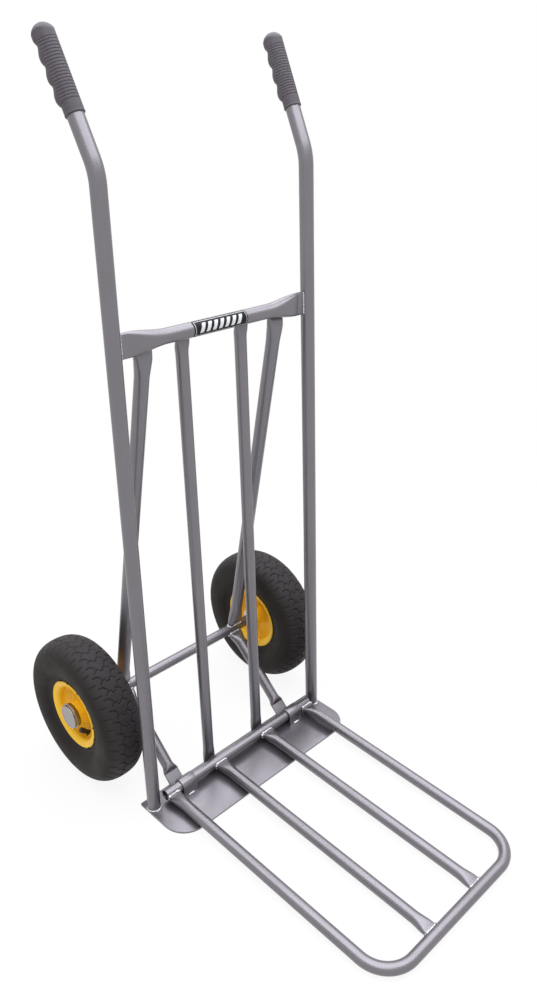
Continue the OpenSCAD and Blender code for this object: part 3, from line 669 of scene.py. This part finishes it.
def build_lower_brace(side):
    """Brace from the axle tube forward to the toe plate."""
    name = SIDE_NAMES[side]
    foot = Vector((STRUT_X, STRUT_FOOT_Y, PLATE_T))
    axle = Vector((STRUT_X, WHEEL.y, WHEEL.z))
    reach = (axle - foot).length
    top_start = reach - AXLE_TUBE_R - STRUT_BLEND - 2 * MM
    whole = (2 * STRUT_R, 2 * STRUT_R)
    table = [(0.0, STRUT_FLARE_W, STRUT_FOOT_T), (STRUT_FOOT_L, STRUT_FLARE_W, STRUT_FOOT_T),
             (STRUT_FOOT_L + STRUT_BLEND / 2, *whole), (top_start, *whole),
             (reach - AXLE_TUBE_R - 2 * MM, STRUT_FLARE_W, AXLE_PAD_T),
             (reach, STRUT_FLARE_W, AXLE_PAD_T)]
    points = mirrored([foot, axle], side)
    painted(f"{name}_lower_brace_tube", pressed_tube(points, table, Z), f"{name}_lower_brace")
    ahead = (points[0] - points[1]).normalized()
    saddle = saddle_path(STRUT_FLARE_W, AXLE_PAD_T, points[1], ahead, AXLE_TUBE_R + 0.5 * MM)
    across = X * STRUT_FLARE_W * 0.47
    front = points[0] + Vector((0, -3.2 * MM, 0.8 * MM))
    back = points[0] + Vector((0, 3.4 * MM, 0.6 * MM))
    welds(f"{name}_lower_brace_welds", [
        bead(saddle, 2.1 * MM, 41 + side, closed=True),
        bead([front - across, front + across], 1.9 * MM, 43 + side),
        bead([back - across, back + across], 1.5 * MM, 45 + side),
    ])


# Axle tube, toe plate and hinge straps

def open_tube(bore, outside, half_l, edge, at):
    """Open tube along X, with eased ends, in line with a point."""
    corners = [(bore, -half_l), (outside, -half_l), (outside, half_l), (bore, half_l)]
    return lathe(filleted(corners, edge, 3), Vector((0, at.y, at.z)), n=RAIL_SIDES)


def build_axle_tube():
    """Sleeve round the axle rod."""
    tube = open_tube(AXLE_BORE_R, AXLE_TUBE_R, AXLE_TUBE_HALF_L, 0.35 * MM, WHEEL)
    painted("axle_tube_sleeve", tube, "axle_tube")


def plate_outline(inset):
    """Outline of the toe plate, pulled in by inset."""
    points = []
    front, rear = -PLATE_FRONT + inset, PLATE_REAR - inset
    half = PLATE_HALF_W - inset
    corners = [(half, front, PLATE_CORNER_R - inset, -90), (half, rear, 3 * MM - inset, 0),
               (-half, rear, 3 * MM - inset, 90), (-half, front, PLATE_CORNER_R - inset, 180)]
    for x, y, r, start in corners:
        cx, cy = x - math.copysign(r, x), y - math.copysign(r, y)
        for i in range(13):
            a = math.radians(start + 90 * i / 12)
            points.append(Vector((cx + r * math.cos(a), RAIL_Y + cy + r * math.sin(a), 0)))
    return points


def build_toe_plate():
    """Plate with eased edges, as rings from its bottom to its top."""
    edge = 0.9 * MM
    turns = [math.pi / 2 * i / 4 for i in range(5)]
    bottom = [[p + Z * edge * (1 - math.sin(a)) for p in plate_outline(edge * (1 - math.cos(a)))]
              for a in reversed(turns)]
    top = [[p + Z * (PLATE_T - edge * (1 - math.sin(a)))
            for p in plate_outline(edge * (1 - math.cos(a)))] for a in turns]
    painted("toe_plate_sheet", skin(bottom + top), "toe_plate")


def build_strap(side):
    """Saddle bent round the extension's pivot tube, with beads at its feet."""
    name = SIDE_NAMES[side]
    bore = EXT_R + HINGE_CLEAR
    outer = bore + STRAP_T
    leg = PIVOT.z - PLATE_T
    arc = [math.radians(a) for a in range(0, 181, 10)]
    outside = [(outer * math.cos(a), outer * math.sin(a)) for a in arc]
    inside = [(bore * math.cos(a), bore * math.sin(a)) for a in reversed(arc)]
    toe = 2.2 * MM
    profile = ([(outer + toe, -leg), (outer + toe * 0.3, -leg + 2.5 * MM)] + outside
               + [(-outer - toe * 0.3, -leg + 2.5 * MM), (-outer - toe, -leg), (-bore, -leg)]
               + inside + [(bore, -leg)])
    edge = 0.7 * MM
    centre = Vector((side * STRAP_X, PIVOT.y, PIVOT.z))
    half = STRAP_W / 2
    rings = []
    for x, inset in ((-half, edge), (-half + 0.25 * edge, 0.3 * edge), (-half + edge, 0),
                     (half - edge, 0), (half - 0.25 * edge, 0.3 * edge), (half, edge)):
        ring = []
        for (a, b), normal in zip(profile, outline_normals(profile, closed=True)):
            a, b = a + normal.x * inset, b + normal.y * inset
            ring.append(centre + Vector((x, a, max(b, -leg))))
        rings.append(ring)
    painted(f"{name}_hinge_saddle", skin(rings), f"{name}_hinge_strap")
    beads = []
    for way, radius in ((-1, 2.5 * MM), (1, 2.0 * MM)):
        y = PIVOT.y + way * (outer + toe)
        start = Vector((side * STRAP_X - half * 0.5, y, PLATE_T + 0.7 * MM))
        beads.append(bead([start, start + X * STRAP_W * 0.5], radius, 51 + side + way))
    welds(f"{name}_hinge_saddle_welds", beads)


# Toe extension

def ext_matrix():
    """Extension's frame: Y runs forward from the pivot, in the extension's plane."""
    return (Matrix.Translation(PIVOT) @ Matrix.Rotation(math.pi, 4, "Z")
            @ Matrix.Rotation(-EXT_DROP, 4, "X"))


def build_pivot_tube():
    """Tube that turns in the two saddles."""
    tube = open_tube(EXT_R - TUBE_WALL, EXT_R, PIVOT_HALF_L, 0.4 * MM, PIVOT)
    painted("extension_hinge_tube", tube, "extension_pivot_tube", "toe_extension")


def build_hoop():
    """U-shaped tube, its two ends pressed flat at the pivot tube."""
    to_frame = ext_matrix()
    normal = to_frame.to_3x3() @ Z
    corner_y, corner_x = EXT_LEN - EXT_CORNER_R, ARM_X - EXT_CORNER_R
    blend_end = EXT_R + ARM_BLEND
    arm_at = stations([3 * MM, EXT_R + 4 * MM, blend_end, corner_y], 14 * MM)
    flat = (ARM_FLARE_W, ARM_PAD_T)
    whole = (2 * EXT_R, 2 * EXT_R)
    table = [(0.0, *flat), (EXT_R + 4 * MM, *flat), (blend_end, *whole), (corner_y, *whole)]
    half = [(Vector((ARM_X, y, 0)), blend_sizes(y, table)) for y in arm_at]
    for i in range(1, 17):
        a = math.pi / 2 * i / 16
        half.append((Vector((corner_x + EXT_CORNER_R * math.cos(a),
                             corner_y + EXT_CORNER_R * math.sin(a), 0)), whole))
    half += [(Vector((corner_x * (1 - i / 8), EXT_LEN, 0)), whole) for i in range(1, 9)]
    other = [(Vector((-p.x, p.y, 0)), size) for p, size in reversed(half[:-1])]
    both = half + other
    path = [to_frame @ p for p, size in both]
    painted("extension_hoop_tube", sweep(path, [size for p, size in both], normal),
            "extension_hoop", "toe_extension")


def ext_saddle(x, y, w, t, way):
    """Weld path where a pressed tube end at x runs into a cross tube at y."""
    to_frame = ext_matrix()
    radius = EXT_R + 0.4 * MM
    return [to_frame @ Vector((x + a, y + way * math.sqrt(max(radius ** 2 - b ** 2, 0)), b))
            for a, b in stadium(w, t, SADDLE_SIDES)]


def build_ext_bar(side):
    """Bar from the pivot tube to the hoop, with the welds of the arm beside it."""
    name = SIDE_NAMES[side]
    to_frame = ext_matrix()
    normal = to_frame.to_3x3() @ Z
    x = -side * BAR_X
    start, end = 3 * MM, EXT_LEN - 3 * MM
    flat, whole = (BAR_FLARE_W, BAR_FLAT_T), (2 * EXT_R, 2 * EXT_R)
    flat_l, blend_l = EXT_R + 3 * MM - start, EXT_R + BAR_BLEND - start
    reach = end - start
    table = [(0.0, *flat), (flat_l, *flat), (blend_l, *whole), (reach - blend_l, *whole),
             (reach - flat_l, *flat), (reach, *flat)]
    points = [to_frame @ Vector((x, start, 0)), to_frame @ Vector((x, end, 0))]
    painted(f"{name}_extension_bar_tube", pressed_tube(points, table, normal),
            f"{name}_extension_bar", "toe_extension")
    welds(f"{name}_extension_bar_welds", [
        bead(ext_saddle(x, 0, BAR_FLARE_W, BAR_FLAT_T, 1), 2.6 * MM, 61 + side, closed=True),
        bead(ext_saddle(x, EXT_LEN, BAR_FLARE_W, BAR_FLAT_T, -1), 1.9 * MM, 63 + side,
             closed=True),
    ], "toe_extension")
    arm = ext_saddle(-side * ARM_X, 0, ARM_FLARE_W - 2 * MM, ARM_PAD_T, 1)
    welds(f"{name}_extension_arm_weld", [bead(arm, 2.8 * MM, 65 + side, closed=True)],
          "toe_extension")


# Grips

def grip_radius(z, angle):
    """Distance of the grip's skin from the handle's axis; angle 0 is the finger side."""
    c, s = math.cos(angle), math.sin(angle)
    body_z = z - GRIP_COLLAR_L
    if body_z <= 0:
        return GRIP_R
    lobe = FINGER_SIDE_OFF * c + math.sqrt(max(FINGER_SIDE_R ** 2 - (FINGER_SIDE_OFF * s) ** 2, 0))
    place = body_z / ((GRIP_LEN - GRIP_COLLAR_L) / 4)
    if place < 3.5:
        near = place - math.floor(place)
        hollow = (0.5 + 0.5 * math.cos(2 * math.pi * (near ** 0.8 - 0.02))) ** 1.3
        if place > 3.25:
            hollow *= 1 - (place - 3.25) / 0.25
        lobe -= (FINGER_DEPTH + 0.4 * MM) * hollow * max(0.0, c) ** 0.8
    share = min(1.0, body_z / (2.5 * MM))
    return max(GRIP_R, GRIP_R + (lobe - GRIP_R) * eased(share))


def build_grip(side):
    """Moulded sleeve with finger hollows, ribs behind and a round end."""
    name = SIDE_NAMES[side]
    start = HANDLE_LEN - GRIP_LEN
    to_frame = handle_matrix()
    dome_off = (FINGER_SIDE_R + FINGER_SIDE_OFF - GRIP_R) / 2
    dome_r = (FINGER_SIDE_R + FINGER_SIDE_OFF + GRIP_R) / 2 + 0.2 * MM
    dome_z = GRIP_LEN - dome_r
    level_step = 0.42 * MM

    def place(x, y, z):
        point = to_frame @ Vector((x, y, start + z))
        return Vector((side * point.x, point.y, point.z))

    def ring_at(z, inset=0.0):
        ring = []
        for a in circle(GRIP_SIDES):
            c, s = math.cos(a), math.sin(a)
            r = grip_radius(z, a)
            if z > dome_z:
                flat_r = math.sqrt(max(dome_r ** 2 - (z - dome_z) ** 2, 0))
                r = min(r, dome_off * c + math.sqrt(max(flat_r ** 2 - (dome_off * s) ** 2, 0)))
            front = 0.35 - c
            if RIB_START < z < RIB_END and front > 0:
                phase = (z - RIB_START) / (RIB_END - RIB_START) * RIB_COUNT
                groove = max(0.0, math.cos(2 * math.pi * phase)) ** 2
                r -= 0.6 * MM * groove * min(1.0, front * 3)
            r += 0.4 * MM * max(0.0, 1 - abs(z - 1.3 * MM) / (1.3 * MM)) - inset
            ring.append(place(r * s, r * c, z))
        return ring

    levels = [0.3 * MM, 1.0 * MM, 1.6 * MM, 2.0 * MM]
    level_count = math.ceil((dome_z + 1.4 * MM) / level_step)
    levels += [2.6 * MM + level_step * i for i in range(level_count)]
    rings = [ring_at(0.0, 0.3 * MM)] + [ring_at(z) for z in levels]
    steps = 26
    first = math.asin((levels[-1] - dome_z) / dome_r)
    for i in range(1, steps):
        rings.append(ring_at(dome_z + dome_r * math.sin(first + (math.pi / 2 - first) * i / steps)))
    rings.append([place(0, dome_off, dome_z + dome_r)] * GRIP_SIDES)
    verts, faces = skin(rings, caps=False)
    faces.insert(0, tuple(range(GRIP_SIDES - 1, -1, -1)))
    piece(f"{name}_grip_moulding", [(verts, faces)], GRIP_PLASTIC, "frame",
          [f"{name}_grip"], sharp=50.0)


# Label on the crossbar

def on_crossbar(x, s, lift):
    """Point on the crossbar's front, at distance s up round it, lifted off its skin."""
    r = RAIL_R + lift
    a = s / RAIL_R + LABEL_TURN
    return Vector((LABEL_X + x, CROSSBAR_Y - r * math.cos(a), CROSSBAR_Z + r * math.sin(a)))


def strip(corners, low, high, steps=14):
    """Thin plate bent round the crossbar between lifts low and high."""
    (x0, s0), (x1, s1), (x2, s2), (x3, s3) = corners
    rings = []
    for i in range(steps + 1):
        f = i / steps
        left, left_s = x0 + (x3 - x0) * f, s0 + (s3 - s0) * f
        right, right_s = x1 + (x2 - x1) * f, s1 + (s2 - s1) * f
        rings.append([on_crossbar(left, left_s, low), on_crossbar(left, left_s, high),
                      on_crossbar(right, right_s, high), on_crossbar(right, right_s, low)])
    return skin(rings)


def build_label():
    """Bent plate with a printed frame and slanted bars."""
    half_w, half_s = LABEL_W / 2, LABEL_HALF_S
    corner = 2.5 * MM
    rings = []
    steps = 40
    for i in range(steps + 1):
        s = -half_s + 2 * half_s * (0.5 - 0.5 * math.cos(math.pi * i / steps))
        past = max(0.0, abs(s) - (half_s - corner))
        x = half_w - corner + math.sqrt(max(corner ** 2 - past ** 2, 0))
        rings.append([on_crossbar(px, s, lift) for px, lift in
                      ((-x, 0.05 * MM), (-x, 0.35 * MM), (-x + 0.2 * MM, 0.5 * MM),
                       (x - 0.2 * MM, 0.5 * MM), (x, 0.35 * MM), (x, 0.05 * MM))])
    piece("front_label_plate", [skin(rings)], LABEL_BLACK, "frame", ["front_label"])
    low, high = 0.4 * MM, 0.56 * MM
    out_x, out_s, line = half_w - 2.2 * MM, half_s - 2.0 * MM, 0.7 * MM
    shapes = [strip([(-out_x, s), (out_x, s), (out_x, s + line), (-out_x, s + line)],
                    low, high, 2) for s in (-out_s, out_s - line)]
    for x in (-out_x, out_x - line):
        shapes.append(strip([(x, -out_s), (x + line, -out_s), (x + line, out_s), (x, out_s)],
                            low, high))
    bar_s, slant, bar_w, bar_step = 6.6 * MM, 6.5 * MM, 6.4 * MM, 11.6 * MM
    for i in range(-3, 4):
        x = i * bar_step - bar_w / 2
        shapes.append(strip([(x - slant / 2, -bar_s), (x - slant / 2 + bar_w, -bar_s),
                             (x + slant / 2 + bar_w, bar_s), (x + slant / 2, bar_s)], low, high))
    piece("front_label_print", shapes, LABEL_INK, "frame")


# Wheels

PITCHES = 40
PITCH = 2 * math.pi * TYRE_R / PITCHES
PITCH_STEPS = 24
OUTLINE_STEPS = 124
TREAD_FADE_R, TREAD_FADE_L = 115 * MM, 5 * MM
CASING_T = 6 * MM
NIB_COUNT, NIB_SIDES, NIB_RINGS = 13, 10, 7
# Raised rings on the tyre's side, as (radius, height), each this wide on either side
RIDGES = ((76 * MM, 0.3 * MM), (79 * MM, 0.2 * MM), (107 * MM, 0.3 * MM))
RIDGE_HALF_W = 1.2 * MM
# Tread grooves in one pitch, as lines through (distance round, distance across) in mm, with
# half width and depth in mm
GROOVES = [
    ([(0, -9), (0, -3.6), (4.2, -3.6), (4.2, 3.6), (0, 3.6), (0, 9)], 0.55, 3.0),
    ([(-8.6, -14.5), (-6.4, -10.5), (0, -9), (4.6, -13.5)], 0.55, 2.8),
    ([(-8.6, 14.5), (-6.4, 10.5), (0, 9), (4.6, 13.5)], 0.55, 2.8),
    ([(10.4, -13), (11.2, -21.5)], 0.6, 2.6),
    ([(10.4, 13), (9.6, 21.5)], 0.6, 2.6),
    ([(1.0, -24), (1.2, -34)], 1.3, 1.7),
    ([(1.0, 24), (0.8, 34)], 1.3, 1.7),
]


def groove_depth(s, v):
    """Depth of the tread pattern at s round and v across, in metres."""
    depth = 0.0
    for line, half_w, deep in GROOVES:
        for wrap in (-PITCH, 0, PITCH):
            p = Vector((s / MM + wrap / MM, v / MM))
            for a, b in zip(line, line[1:]):
                a, b = Vector(a), Vector(b)
                d = b - a
                f = clamped((p - a).dot(d) / d.length_squared)
                away = (p - (a + d * f)).length
                depth = max(depth, deep * eased(clamped((half_w + 0.55 - away) / 0.75)))
    return depth * MM


def tyre_outline():
    """Tyre's outer skin from one bead to the other, as (radius, u)."""
    mid_r = (TYRE_R + RIM_R) / 2 + 1 * MM
    half_h = TYRE_R - mid_r
    power = 2 / 2.4
    lip = math.radians(42)
    points = []
    for i in range(OUTLINE_STEPS + 1):
        a = -lip + (math.pi + 2 * lip) * i / OUTLINE_STEPS
        points.append((mid_r + half_h * math.copysign(abs(math.sin(a)) ** power, math.sin(a)),
                       TYRE_HALF_W * math.copysign(abs(math.cos(a)) ** power, math.cos(a))))
    return points


def build_tyre(side):
    """Casing with its tread cut in, and the moulding nibs at its bead."""
    name = SIDE_NAMES[side]
    outline = tyre_outline()
    depths = []
    for k in range(PITCH_STEPS):
        row = []
        for r, u in outline:
            fade = clamped((r - TREAD_FADE_R) / TREAD_FADE_L)
            row.append(groove_depth(PITCH * k / PITCH_STEPS, u) * fade if fade else 0.0)
        depths.append(row)
    normals = outline_normals(outline)
    gap = 0.3 * MM
    seat_r = RIM_SEAT_R + gap
    half = [(RIM_R + gap, RIM_FLANGE_U - gap), (seat_r, RIM_SEAT_U - 0.4 * MM),
            (seat_r, RIM_SEAT_U - 5 * MM), (72 * MM, 29 * MM), (100 * MM, 32 * MM),
            (TYRE_R - CASING_T, 14 * MM)]
    inner = [(r, -u) for r, u in half] + half[::-1]
    rings = []
    for k, a in enumerate(circle(PITCHES * PITCH_STEPS)):
        ring = []
        row = depths[k % PITCH_STEPS]
        for (r, u), normal, depth in zip(outline, normals, row):
            ridge = 0.0
            for ridge_r, height in RIDGES:
                ridge = max(ridge, height * max(0.0, 1 - abs(r - ridge_r) / RIDGE_HALF_W))
            ring.append(wheel_point(side, r + normal.x * (ridge - depth),
                                    u + normal.y * (ridge - depth), a))
        rings.append(ring + [wheel_point(side, r, u, a) for r, u in inner])
    piece(f"{name}_tyre_casing", [skin(rings, loop=True)], RUBBER, f"{name}_wheel",
          [f"{name}_tyre"], sharp=0)
    nibs = []
    rng = random.Random(7)
    for i in range(NIB_COUNT):
        a = 2 * math.pi * (i + 0.5 * rng.random()) / NIB_COUNT
        r, u = RIM_R - 0.4 * MM, RIM_FLANGE_U + 0.9 * MM
        size = (0.9 + 1.0 * rng.random()) * MM
        centre = wheel_point(side, r, u, a)
        inward = Vector((0, -math.cos(a), -math.sin(a)))
        side_way = inward.cross(X)
        rings = []
        for j in range(NIB_RINGS):
            t = math.pi * (0.06 + 0.88 * j / (NIB_RINGS - 1))
            rings.append([centre + X * side * size * 0.8 * math.sin(t) * math.cos(b)
                          + side_way * size * 0.9 * math.sin(t) * math.sin(b)
                          + inward * size * 1.5 * math.cos(t)
                          for b in circle(NIB_SIDES)])
        nibs.append(skin(rings))
    piece(f"{name}_tyre_nibs", nibs, RUBBER, f"{name}_wheel", sharp=0)


def rim_profile(way):
    """Closed section of one pressed rim half; way 1 is the outer half."""
    line = [(HUB_R + 0.1 * MM, 0.8 * MM), (RIM_DISH_R - 2 * MM, 0.8 * MM),
            (RIM_SEAT_R - 0.7 * MM, 12.8 * MM), (RIM_SEAT_R - 0.7 * MM, RIM_SEAT_U),
            (RIM_R - 2.2 * MM, RIM_FLANGE_U + 0.9 * MM),
            (RIM_R - 0.8 * MM, RIM_FLANGE_U + 0.2 * MM)]
    line = filleted(line, [0, 9 * MM, 9 * MM, 12 * MM, 1.4 * MM, 0], 10, closed=False)
    upper, lower = [], []
    for (r, u), normal in zip(line, outline_normals(line)):
        normal = normal * RIM_T / 2
        upper.append((r + normal.x, way * (u + normal.y)))
        lower.append((r - normal.x, way * (u - normal.y)))
    return upper + lower[::-1]


def build_rim(side):
    """Two pressed rim halves, the hub barrel and the welds between them."""
    name = SIDE_NAMES[side]
    for half, way in (("outer", 1), ("inner", -1)):
        piece(f"{name}_rim_{half}_pressing", [lathe(rim_profile(way), WHEEL, side, 128)], YELLOW,
              f"{name}_wheel", [f"{name}_rim_{half}_half"], sharp=40.0)
    bore, race_seat, shoulder = 14 * MM, 17.6 * MM, HUB_HALF_L - 11 * MM
    profile = filleted([
        (race_seat, -HUB_HALF_L), (HUB_R, -HUB_HALF_L), (HUB_R, HUB_HALF_L),
        (race_seat, HUB_HALF_L), (race_seat, shoulder), (bore, shoulder),
        (bore, -shoulder), (race_seat, -shoulder),
    ], 0.4 * MM, 3)
    piece(f"{name}_hub_barrel", [lathe(profile, WHEEL, side, 96)], YELLOW, f"{name}_wheel",
          [f"{name}_hub"], sharp=40.0)
    fillet_r, fillet_u = 21 * MM, 2.4 * MM
    beads = [bead([wheel_point(side, fillet_r, u, a) for a in circle(64)], 1.7 * MM, seed,
                  closed=True) for u, seed in ((fillet_u, 71), (-fillet_u, 72))]
    piece(f"{name}_hub_fillets", beads, YELLOW, f"{name}_wheel", sharp=0)


def build_hub_cap(side):
    """Cap over the hub's outer end, with a brim round its skirt."""
    name = SIDE_NAMES[side]
    t = 0.9 * MM
    brim = 31.5 * MM
    outer = filleted([(0, CAP_FRONT_U - 0.5 * MM), (16.6 * MM, CAP_FRONT_U - 0.5 * MM),
                      (17.6 * MM, CAP_FRONT_U), (CAP_R, CAP_FRONT_U), (CAP_R, brim + t),
                      (CAP_BRIM_R, brim + t * 0.9), (CAP_BRIM_R, brim), (CAP_R, brim),
                      (CAP_R, CAP_SKIRT_U)],
                     [0, 1.5 * MM, 1 * MM, 1.8 * MM, 0.8 * MM, 0.4 * MM, 0.2 * MM, 0.2 * MM, 0], 7,
                     closed=False)
    inner = [(CAP_R - t, CAP_SKIRT_U), (CAP_R - t, CAP_FRONT_U - 2.2 * MM),
             (CAP_R - 2.5 * MM, CAP_FRONT_U - 1.2 * MM), (0, CAP_FRONT_U - 1.5 * MM)]
    piece(f"{name}_hub_cap_shell", [lathe(outer + inner, WHEEL, side, 128)], CHROME,
          f"{name}_wheel", [f"{name}_hub_cap"], sharp=40.0)


def turned(path, radii):
    """Round bar along a path with a radius at each point."""
    rings = []
    last = len(path) - 1
    for i, (p, r) in enumerate(zip(path, radii)):
        ahead = (path[min(i + 1, last)] - path[max(i - 1, 0)]).normalized()
        first = ahead.cross(X).normalized()
        second = ahead.cross(first)
        rings.append([p + (first * math.cos(a) + second * math.sin(a)) * r
                      for a in circle(VALVE_SIDES)])
    return skin(rings)


def build_valve(side):
    """Rubber valve stem and its plastic cap."""
    name = SIDE_NAMES[side]
    radial = Vector((0, -math.sin(VALVE_TURN), math.cos(VALVE_TURN)))

    def at(r, u):
        return Vector((side * (WHEEL.x + u), WHEEL.y, WHEEL.z)) + radial * r

    stem_u = 7.5 * MM
    seat, elbow, tip = (49.6 * MM, stem_u), (44.75 * MM, stem_u), (32 * MM, 22 * MM)
    line = filleted([seat, elbow, tip], [0, 6 * MM, 0], 8, closed=False)
    path = [at(*p) for p in line]
    length = sum((b - a).length for a, b in zip(path, path[1:]))
    stem_l = length - VALVE_CAP_L
    stem, radii = [], []
    for i in range(41):
        s = stem_l * i / 40
        stem.append(along_points(path, s))
        flare = 2.4 * MM * max(0.0, 1 - s / (2.2 * MM)) ** 0.5
        radii.append(VALVE_R + flare - 0.5 * MM * (s / stem_l))
    piece(f"{name}_valve_stem_rubber", [turned(stem, radii)], VALVE_RUBBER, f"{name}_wheel",
          [f"{name}_valve_stem"])
    cap_path, cap_radii = [], []
    base = along_points(path, stem_l)
    ahead = (path[-1] - path[-2]).normalized()
    for s, r in ((0, 4.3), (0.4, 4.9), (1.4, 5.0), (1.8, 4.6), (5.6, 4.5), (6.2, 4.9), (7.2, 4.7),
                 (7.8, 4.0), (VALVE_CAP_L / MM, 3.2)):
        cap_path.append(base + ahead * s * MM)
        cap_radii.append(r * MM)
    piece(f"{name}_valve_cap_plastic", [turned(cap_path, cap_radii)], VALVE_PLASTIC,
          f"{name}_wheel", [f"{name}_valve_cap"])


for one_side in (LEFT, RIGHT):
    build_rail(one_side)
    build_slat(one_side)
    build_rear_brace(one_side)
    build_lower_brace(one_side)
    build_strap(one_side)
    build_ext_bar(one_side)
    build_grip(one_side)
    build_tyre(one_side)
    build_rim(one_side)
    build_hub_cap(one_side)
    build_valve(one_side)
build_crossbar()
build_axle_tube()
build_toe_plate()
build_pivot_tube()
build_hoop()
build_label()

# Finishes of the CAD nodes that stay
NODE_FINISH = {"axle_rod": BRIGHT}
for side_name in SIDE_NAMES.values():
    for part in ("inner_washer", "outer_washer", "axle_clip", "inner_races", "outer_races",
                 "bearing_balls"):
        NODE_FINISH[f"{side_name}_{part}"] = BRIGHT
    NODE_FINISH[f"{side_name}_inner_tube"] = TUBE_RUBBER
for node_name, finish in NODE_FINISH.items():
    kept = frame["nodes"][node_name]
    kept.data.materials.clear()
    kept.data.materials.append(finish)
    for polygon in kept.data.polygons:
        polygon.material_index = 0


# Stage, light and camera

# How much of the floor is seen as plain white near the truck; the rest shows light and shadow.
# The share grows to all of it over the distances given.
FLOOR_GLOW = 0.9
FLOOR_GLOW_FROM, FLOOR_GLOW_TO = 0.6, 2.0
FLOOR_HALF = 60.0
FLOOR_DROP = 0.2 * MM
SKY_LIGHT = 0.3
LAMP_PLACE, LAMP_SIDE, LAMP_POWER = (0.2, 0.2, 2.7), 4.5, 190
LAMP_COLOUR = (0.93, 0.95, 1.0)
CAMERA_PLACE = (-0.79639, -0.79140, 1.10313)
CAMERA_TURN = (math.radians(63.62), 0, math.radians(-44.42))
CAMERA_LENS, CAMERA_SENSOR = 30.79, 36.0


def seen_share(tree, low, high):
    """High where the background itself is seen, straight on or in metal; low elsewhere."""
    path = node(tree, "ShaderNodeLightPath")
    seen = node(tree, "ShaderNodeMath", {0: path.outputs["Is Camera Ray"],
                                         1: path.outputs["Is Glossy Ray"]}, operation="MAXIMUM")
    seen = node(tree, "ShaderNodeMath", {0: seen.outputs[0],
                                         1: path.outputs["Is Transmission Ray"]},
                operation="MAXIMUM")
    return node(tree, "ShaderNodeMapRange", {"Value": seen.outputs[0], "To Min": low,
                                             "To Max": high}).outputs["Result"]


def build_stage():
    """Pale floor and white surroundings."""
    mesh = bpy.data.meshes.new("floor")
    corners = ((-1, -1), (1, -1), (1, 1), (-1, 1))
    mesh.from_pydata([(FLOOR_HALF * x, FLOOR_HALF * y, 0) for x, y in corners], [],
                     [(0, 1, 2, 3)])
    floor = bpy.data.objects.new("floor", mesh)
    bpy.context.scene.collection.objects.link(floor)
    floor.location.z = -FLOOR_DROP
    paper = bpy.data.materials.new("floor_paper")
    paper.use_nodes = True
    tree = paper.node_tree
    shader = tree.nodes["Principled BSDF"]
    shader.inputs["Base Color"].default_value = (0.8, 0.8, 0.8, 1)
    shader.inputs["Roughness"].default_value = 0.9
    shader.inputs["Specular IOR Level"].default_value = 0.1
    coords = node(tree, "ShaderNodeTexCoord").outputs["Object"]
    away = node(tree, "ShaderNodeVectorMath", {0: coords}, operation="LENGTH").outputs["Value"]
    white = node(tree, "ShaderNodeMapRange", {
        "Value": away, "From Min": FLOOR_GLOW_FROM, "From Max": FLOOR_GLOW_TO,
        "To Min": FLOOR_GLOW, "To Max": 1.0,
    })
    share = node(tree, "ShaderNodeMath", {0: white.outputs["Result"],
                                          1: seen_share(tree, 0.0, 1.0)}, operation="MULTIPLY")
    glow = node(tree, "ShaderNodeEmission", {"Color": (1, 1, 1, 1), "Strength": 1.0})
    mixed = node(tree, "ShaderNodeMixShader", {0: share.outputs[0]})
    tree.links.new(shader.outputs[0], mixed.inputs[1])
    tree.links.new(glow.outputs[0], mixed.inputs[2])
    tree.links.new(mixed.outputs[0], tree.nodes["Material Output"].inputs["Surface"])
    mesh.materials.append(paper)
    world = bpy.data.worlds.new("studio")
    bpy.context.scene.world = world
    world.use_nodes = True
    tree = world.node_tree
    sky = tree.nodes["Background"]
    sky.inputs["Color"].default_value = (1, 1, 1, 1)
    tree.links.new(seen_share(tree, SKY_LIGHT, 1.0), sky.inputs["Strength"])


def build_lamp():
    """One wide soft light overhead. A new light shines straight down."""
    data = bpy.data.lights.new("overhead", "AREA")
    data.shape = "RECTANGLE"
    data.size = data.size_y = LAMP_SIDE
    data.energy = LAMP_POWER
    data.color = LAMP_COLOUR
    lamp = bpy.data.objects.new("overhead", data)
    lamp.location = LAMP_PLACE
    bpy.context.scene.collection.objects.link(lamp)


def build_camera():
    """The camera of the main view."""
    data = bpy.data.cameras.new("camera")
    data.lens = CAMERA_LENS
    data.sensor_width = CAMERA_SENSOR
    camera = bpy.data.objects.new("camera", data)
    camera.location = CAMERA_PLACE
    camera.rotation_euler = CAMERA_TURN
    bpy.context.scene.collection.objects.link(camera)
    bpy.context.scene.camera = camera


build_stage()
build_lamp()
build_camera()
bpy.context.scene.view_settings.view_transform = "Standard"
